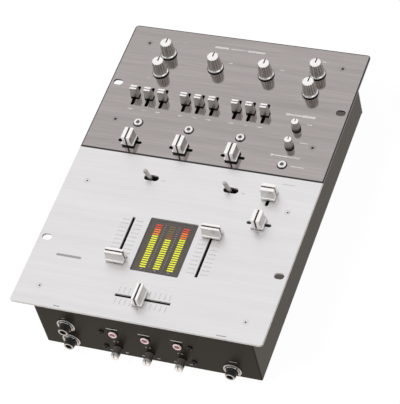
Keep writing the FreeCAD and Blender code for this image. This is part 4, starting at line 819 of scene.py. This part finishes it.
def phono_bank():
    """Seven columns of two phono sockets, red below and white above, each column on one moulded back."""
    metal, rings, black = 0, (1, 2), 3
    shell = [
        (3.5, 0), (4.1, 0), (4.15, 0.1), (4.15, 8.9), (4.0, 9.15), (3.8, 9.2), (3.55, 9.1), (3.5, 8.8),
        (3.5, 0)]
    insert = [
        (1.65, 1.2), (3.5, 0.2), (3.5, 7.6), (3.3, 7.8), (2.0, 7.8), (1.8, 7.6), (1.65, 7.2), (1.65, 1.2)]
    eye = [(0, 1.2), (1.65, 1.2), (1.65, 7.5), (1.4, 7.5), (1.3, 7.0), (1.3, 1.6), (0, 1.6)]
    foot = [(4.2, 0), (5.6, 0), (5.6, 0.5), (5.3, 0.7), (4.2, 0.7), (4.2, 0)]
    piece = bmesh.new()
    for x in PHONO_COLUMNS:
        for z, ring in zip(SOCKET_ROWS, rings):
            place = at(x, REAR_FACE, z, TO_REAR)
            put(piece, turned(shell, 36), place, metal)
            put(piece, turned(insert, 36), place, ring)
            put(piece, turned(eye, 24), place, metal)
            put(piece, turned(foot, 36), place, black)
        back = bar((12, SOCKET_ROWS[1] - SOCKET_ROWS[0] + 12, 10.8), (0, 0, -6.6), 0.4)
        put(piece, back, at(x, REAR_FACE, sum(SOCKET_ROWS) / 2, TO_REAR), black)
    finishes = (NICKEL, RED_RING, WHITE_RING, BLACK_NYLON)
    hand_over(piece, "phono_socket_bank", "case", "phono_metal", finishes, "phono_sockets")


jack_barrels()
jack_dress_nuts()
phono_bank()

# Mains inlet, power rocker and earth screw
MAINS_X = centre("mains_inlet").x


def mains_inlet():
    """A flange whose back is drawn out to a box and whose front is sunk to a well with three pins."""
    piece = bmesh.new()
    place = at(MAINS_X, REAR_FACE, SOCKET_ROWS[0], TO_REAR)
    shell = bar((31, 23.6, 2), (0, 0, 1))
    for side, wall, depth in ((-1, 2.0, 18), (1, 3.5, 16)):
        face = max(shell.faces, key=lambda flat: side * flat.normal.z)
        bmesh.ops.inset_region(shell, faces=[face], thickness=wall * MM, use_even_offset=True)
        pushed = bmesh.ops.extrude_discrete_faces(shell, faces=[face])["faces"][0]
        bmesh.ops.translate(shell, verts=pushed.verts, vec=(0, 0, -depth * MM))
    bmesh.ops.recalc_face_normals(shell, faces=shell.faces)
    put(piece, soften(shell, 0.35), place, 0)
    for x, y in ((-7, -2), (7, -2), (0, 2)):
        put(piece, bar((2, 4, 10.5), (x, y, -9.2), 0.35), place, 1)
    hand_over(piece, "mains_inlet_shell", "case", "jack_plastic", (BLACK_NYLON, NICKEL), "mains_inlet")


def power_rocker():
    """A paddle tipped to one side, its hollow crown marked with a dash and a ring."""
    piece = bmesh.new()
    place = at(MAINS_X, REAR_FACE - 2, SOCKET_ROWS[1], TO_REAR) @ rotated(7, "Y")
    crown = [(7.6, 3.5), (3.9, 2.95), (0, 2.8), (-3.9, 2.95), (-7.6, 3.5)]
    section = [(0, -4.5), (7.6, 0)] + crown + [(-7.6, 0)]
    put(piece, soften(drawn(section, 9.6), 0.4, 20), place, 0)
    put(piece, stroke((0, -1.6), (0, 1.6), 0.6), place @ at(4.6, 0, 3.08, rotated(-8, "Y")), 1)
    ring = turned([(1.1, 0), (1.6, 0), (1.6, INK), (1.1, INK), (1.1, 0)], 24)
    put(piece, ring, place @ at(-4.6, 0, 3.08, rotated(8, "Y")), 1)
    finishes = (BLACK_NYLON, WHITE_INK)
    hand_over(piece, "power_rocker_paddle", "power_rocker", "jack_plastic", finishes, "power_rocker")


def earth_screw():
    """A thumb screw with a ridged rim and a slot, which is a black bar on its top: painted shade."""
    piece = bmesh.new()
    spot = centre("earth_screw")
    place = at(spot.x, REAR_FACE, spot.z, TO_REAR)
    head = turned([
        (0, -8), (1.9, -8), (1.9, 0.35), (4.2, 0.35), (4.5, 0.7), (4.5, 6.5), (4.2, 6.9), (3.8, 7.0),
        (1.2, 7.0), (0, 7.0)], 72)
    flute(head, 0.95, 72, 2, beyond=4.4)
    put(piece, head, place, 0)
    put(piece, bar((7.6, 1.0, 0.5), (0, 0, 6.82), 0.05), place, 1)
    hand_over(piece, "earth_thumb_screw", "earth_screw", "plated_screw", (NICKEL, LINE_PAINT_AND_SHADE), "earth_screw")


def rear_panel_print():
    """Bars over the phono columns, the rear jacks and the rocker."""
    marks = [level(-x - 4.5, -x + 4.5, 63.5, 0.8) for x in PHONO_COLUMNS]
    marks += [level(-x - 6, -x + 6, 66, 0.8) for x in (REAR_JACK_X, MAINS_X)]
    printed("rear_panel_print", "black_case", at(0, REAR_FACE, 0, TO_REAR), (WHITE_INK,), marks)


mains_inlet()
power_rocker()
earth_screw()
rear_panel_print()

# Finishes of the nodes that stay as they are
KEPT = {
    "rear_plate": GREY_PLATE, "front_plate": SILVER_PLATE, "chassis_tray": BLACK_STEEL,
    "rear_panel": BLACK_STEEL, "feet": RUBBER, "rotary_bodies": CONTROL_BODY,
    "mini_fader_bodies": CONTROL_BODY, "long_fader_bodies": CONTROL_BODY, "switch_bodies": CONTROL_BODY,
    "control_boards": BOARD, "connector_boards": BOARD, "board_spacers": BRASS, "power_supply": SUPPLY}
for node, finish in KEPT.items():
    NODES[node].data.materials.clear()
    NODES[node].data.materials.append(finish)


# Studio
def light_box(name, place, size, power):
    """A round soft box that lights the mixer but is not mirrored in it."""
    lamp = bpy.data.lights.new(name, "AREA")
    lamp.shape = "DISK"
    lamp.size = size
    lamp.energy = power
    item = bpy.data.objects.new(name, lamp)
    item.location = place
    mixer = Vector((0, 0, 0.06))
    item.rotation_euler = (mixer - Vector(place)).to_track_quat("-Z", "Y").to_euler()
    item.visible_glossy = False
    bpy.context.scene.collection.objects.link(item)


light_box("key_light", (-0.6, -0.75, 1.6), size=0.9, power=26)
light_box("side_fill", (1.5, 1.1, 1.1), size=1.0, power=9)

# What polished faces mirror: a screen behind, half as bright below it, a card at the right, and a dim patch
SCREEN_WAY = (-0.3, 0.55, 0.9)
CARD_WAY = (0.648, -0.44, 0.621)
PATCH_WAY = (0.22, -0.46, 0.86)
ROOM_LEVEL = 0.25


def studio_room():
    """A white backdrop and an even, low light, with the screen, card and patch only in reflections."""
    world = bpy.data.worlds.new("studio")
    bpy.context.scene.world = world
    world.use_nodes = True
    tree = world.node_tree
    tree.nodes.clear()
    path = add(tree, "LightPath")
    way = add(tree, "TexCoord").outputs["Generated"]
    behind = add(tree, "VectorMath", {0: way, 1: SCREEN_WAY}, operation="DOT_PRODUCT")
    screen = add(tree, "MapRange", {
        "Value": behind.outputs["Value"], "From Min": -0.2, "From Max": 0.25, "To Min": 0.5})
    beside = add(tree, "VectorMath", {0: way, 1: CARD_WAY}, operation="DOT_PRODUCT")
    card = add(tree, "MapRange", {
        "Value": beside.outputs["Value"], "From Min": 0.86, "From Max": 0.95, "To Max": 1.4})
    either = add(tree, "Math", {0: screen.outputs[0], 1: card.outputs[0]}, operation="MAXIMUM")
    before = add(tree, "VectorMath", {0: way, 1: PATCH_WAY}, operation="DOT_PRODUCT")
    patch = add(tree, "MapRange", {
        "Value": before.outputs["Value"], "From Min": 0.8, "From Max": 0.93, "To Min": 1.0, "To Max": 0.7})
    dimmed = add(tree, "Math", {0: either.outputs[0], 1: patch.outputs[0]}, operation="MULTIPLY")
    mirrored = add(tree, "Math", {0: path.outputs["Is Glossy Ray"], 1: dimmed.outputs[0]},
                   operation="MULTIPLY")
    seen = add(tree, "Math", {0: path.outputs["Is Camera Ray"], 1: path.outputs["Is Transmission Ray"]},
               operation="MAXIMUM")
    bright = add(tree, "Math", {0: mirrored.outputs[0], 1: seen.outputs[0]}, operation="MAXIMUM")
    light = add(tree, "Math", {0: bright.outputs[0], 1: ROOM_LEVEL}, operation="MAXIMUM")
    room = add(tree, "Background", {"Color": linear("#FFFFFF"), "Strength": light.outputs[0]})
    add(tree, "OutputWorld", {"Surface": room.outputs[0]})


def paper():
    """Pale paper: white to the camera, hardly darker in shadow, and a little warm in reflections."""
    material, tree = blank("pale_paper_floor")
    path = add(tree, "LightPath")
    matt = add(tree, "BsdfDiffuse", {"Color": linear("#F4F3F2")})
    warm = add(tree, "Mix", {
        0: path.outputs["Is Glossy Ray"], 6: linear("#FFFFFF"), 7: linear("#FFF5EE")}, data_type="RGBA")
    glow = add(tree, "Emission", {"Color": warm.outputs[2], "Strength": 1.04})
    seen = add(tree, "Math", {0: path.outputs["Is Camera Ray"], 1: path.outputs["Is Glossy Ray"]},
               operation="MAXIMUM")
    share = add(tree, "Math", {0: seen.outputs[0], 1: 0.93}, operation="MULTIPLY")
    both = add(tree, "MixShader", {0: share.outputs[0], 1: matt.outputs[0], 2: glow.outputs[0]})
    add(tree, "OutputMaterial", {"Surface": both.outputs[0]})
    return material


studio_room()
sheet = bmesh.new()
bmesh.ops.create_grid(sheet, x_segments=1, y_segments=1, size=6.0)
floor_mesh = bpy.data.meshes.new("floor")
sheet.to_mesh(floor_mesh)
sheet.free()
floor_mesh.materials.append(paper())
floor = bpy.data.objects.new("floor", floor_mesh)
floor.location.z = -0.5 * MM
bpy.context.scene.collection.objects.link(floor)

# Camera at the photograph's place: right, up and back of its view, solved on the plates' corners
view = bpy.data.cameras.new("camera")
view.lens = 184.87
view.sensor_width = 36
camera = bpy.data.objects.new("camera", view)
right = Vector((0.92955667, 0.32140221, -0.18062394))
up = Vector((-0.14930719, 0.77612511, 0.61264768))
back = Vector((0.33709309, -0.54252229, 0.76943994))
stand = Matrix.Translation((0.686546, -1.110284, 1.617223))
camera.matrix_world = stand @ Matrix((right, up, back)).transposed().to_4x4()
bpy.context.scene.collection.objects.link(camera)
bpy.context.scene.camera = camera
bpy.context.scene.view_settings.view_transform = "Standard"
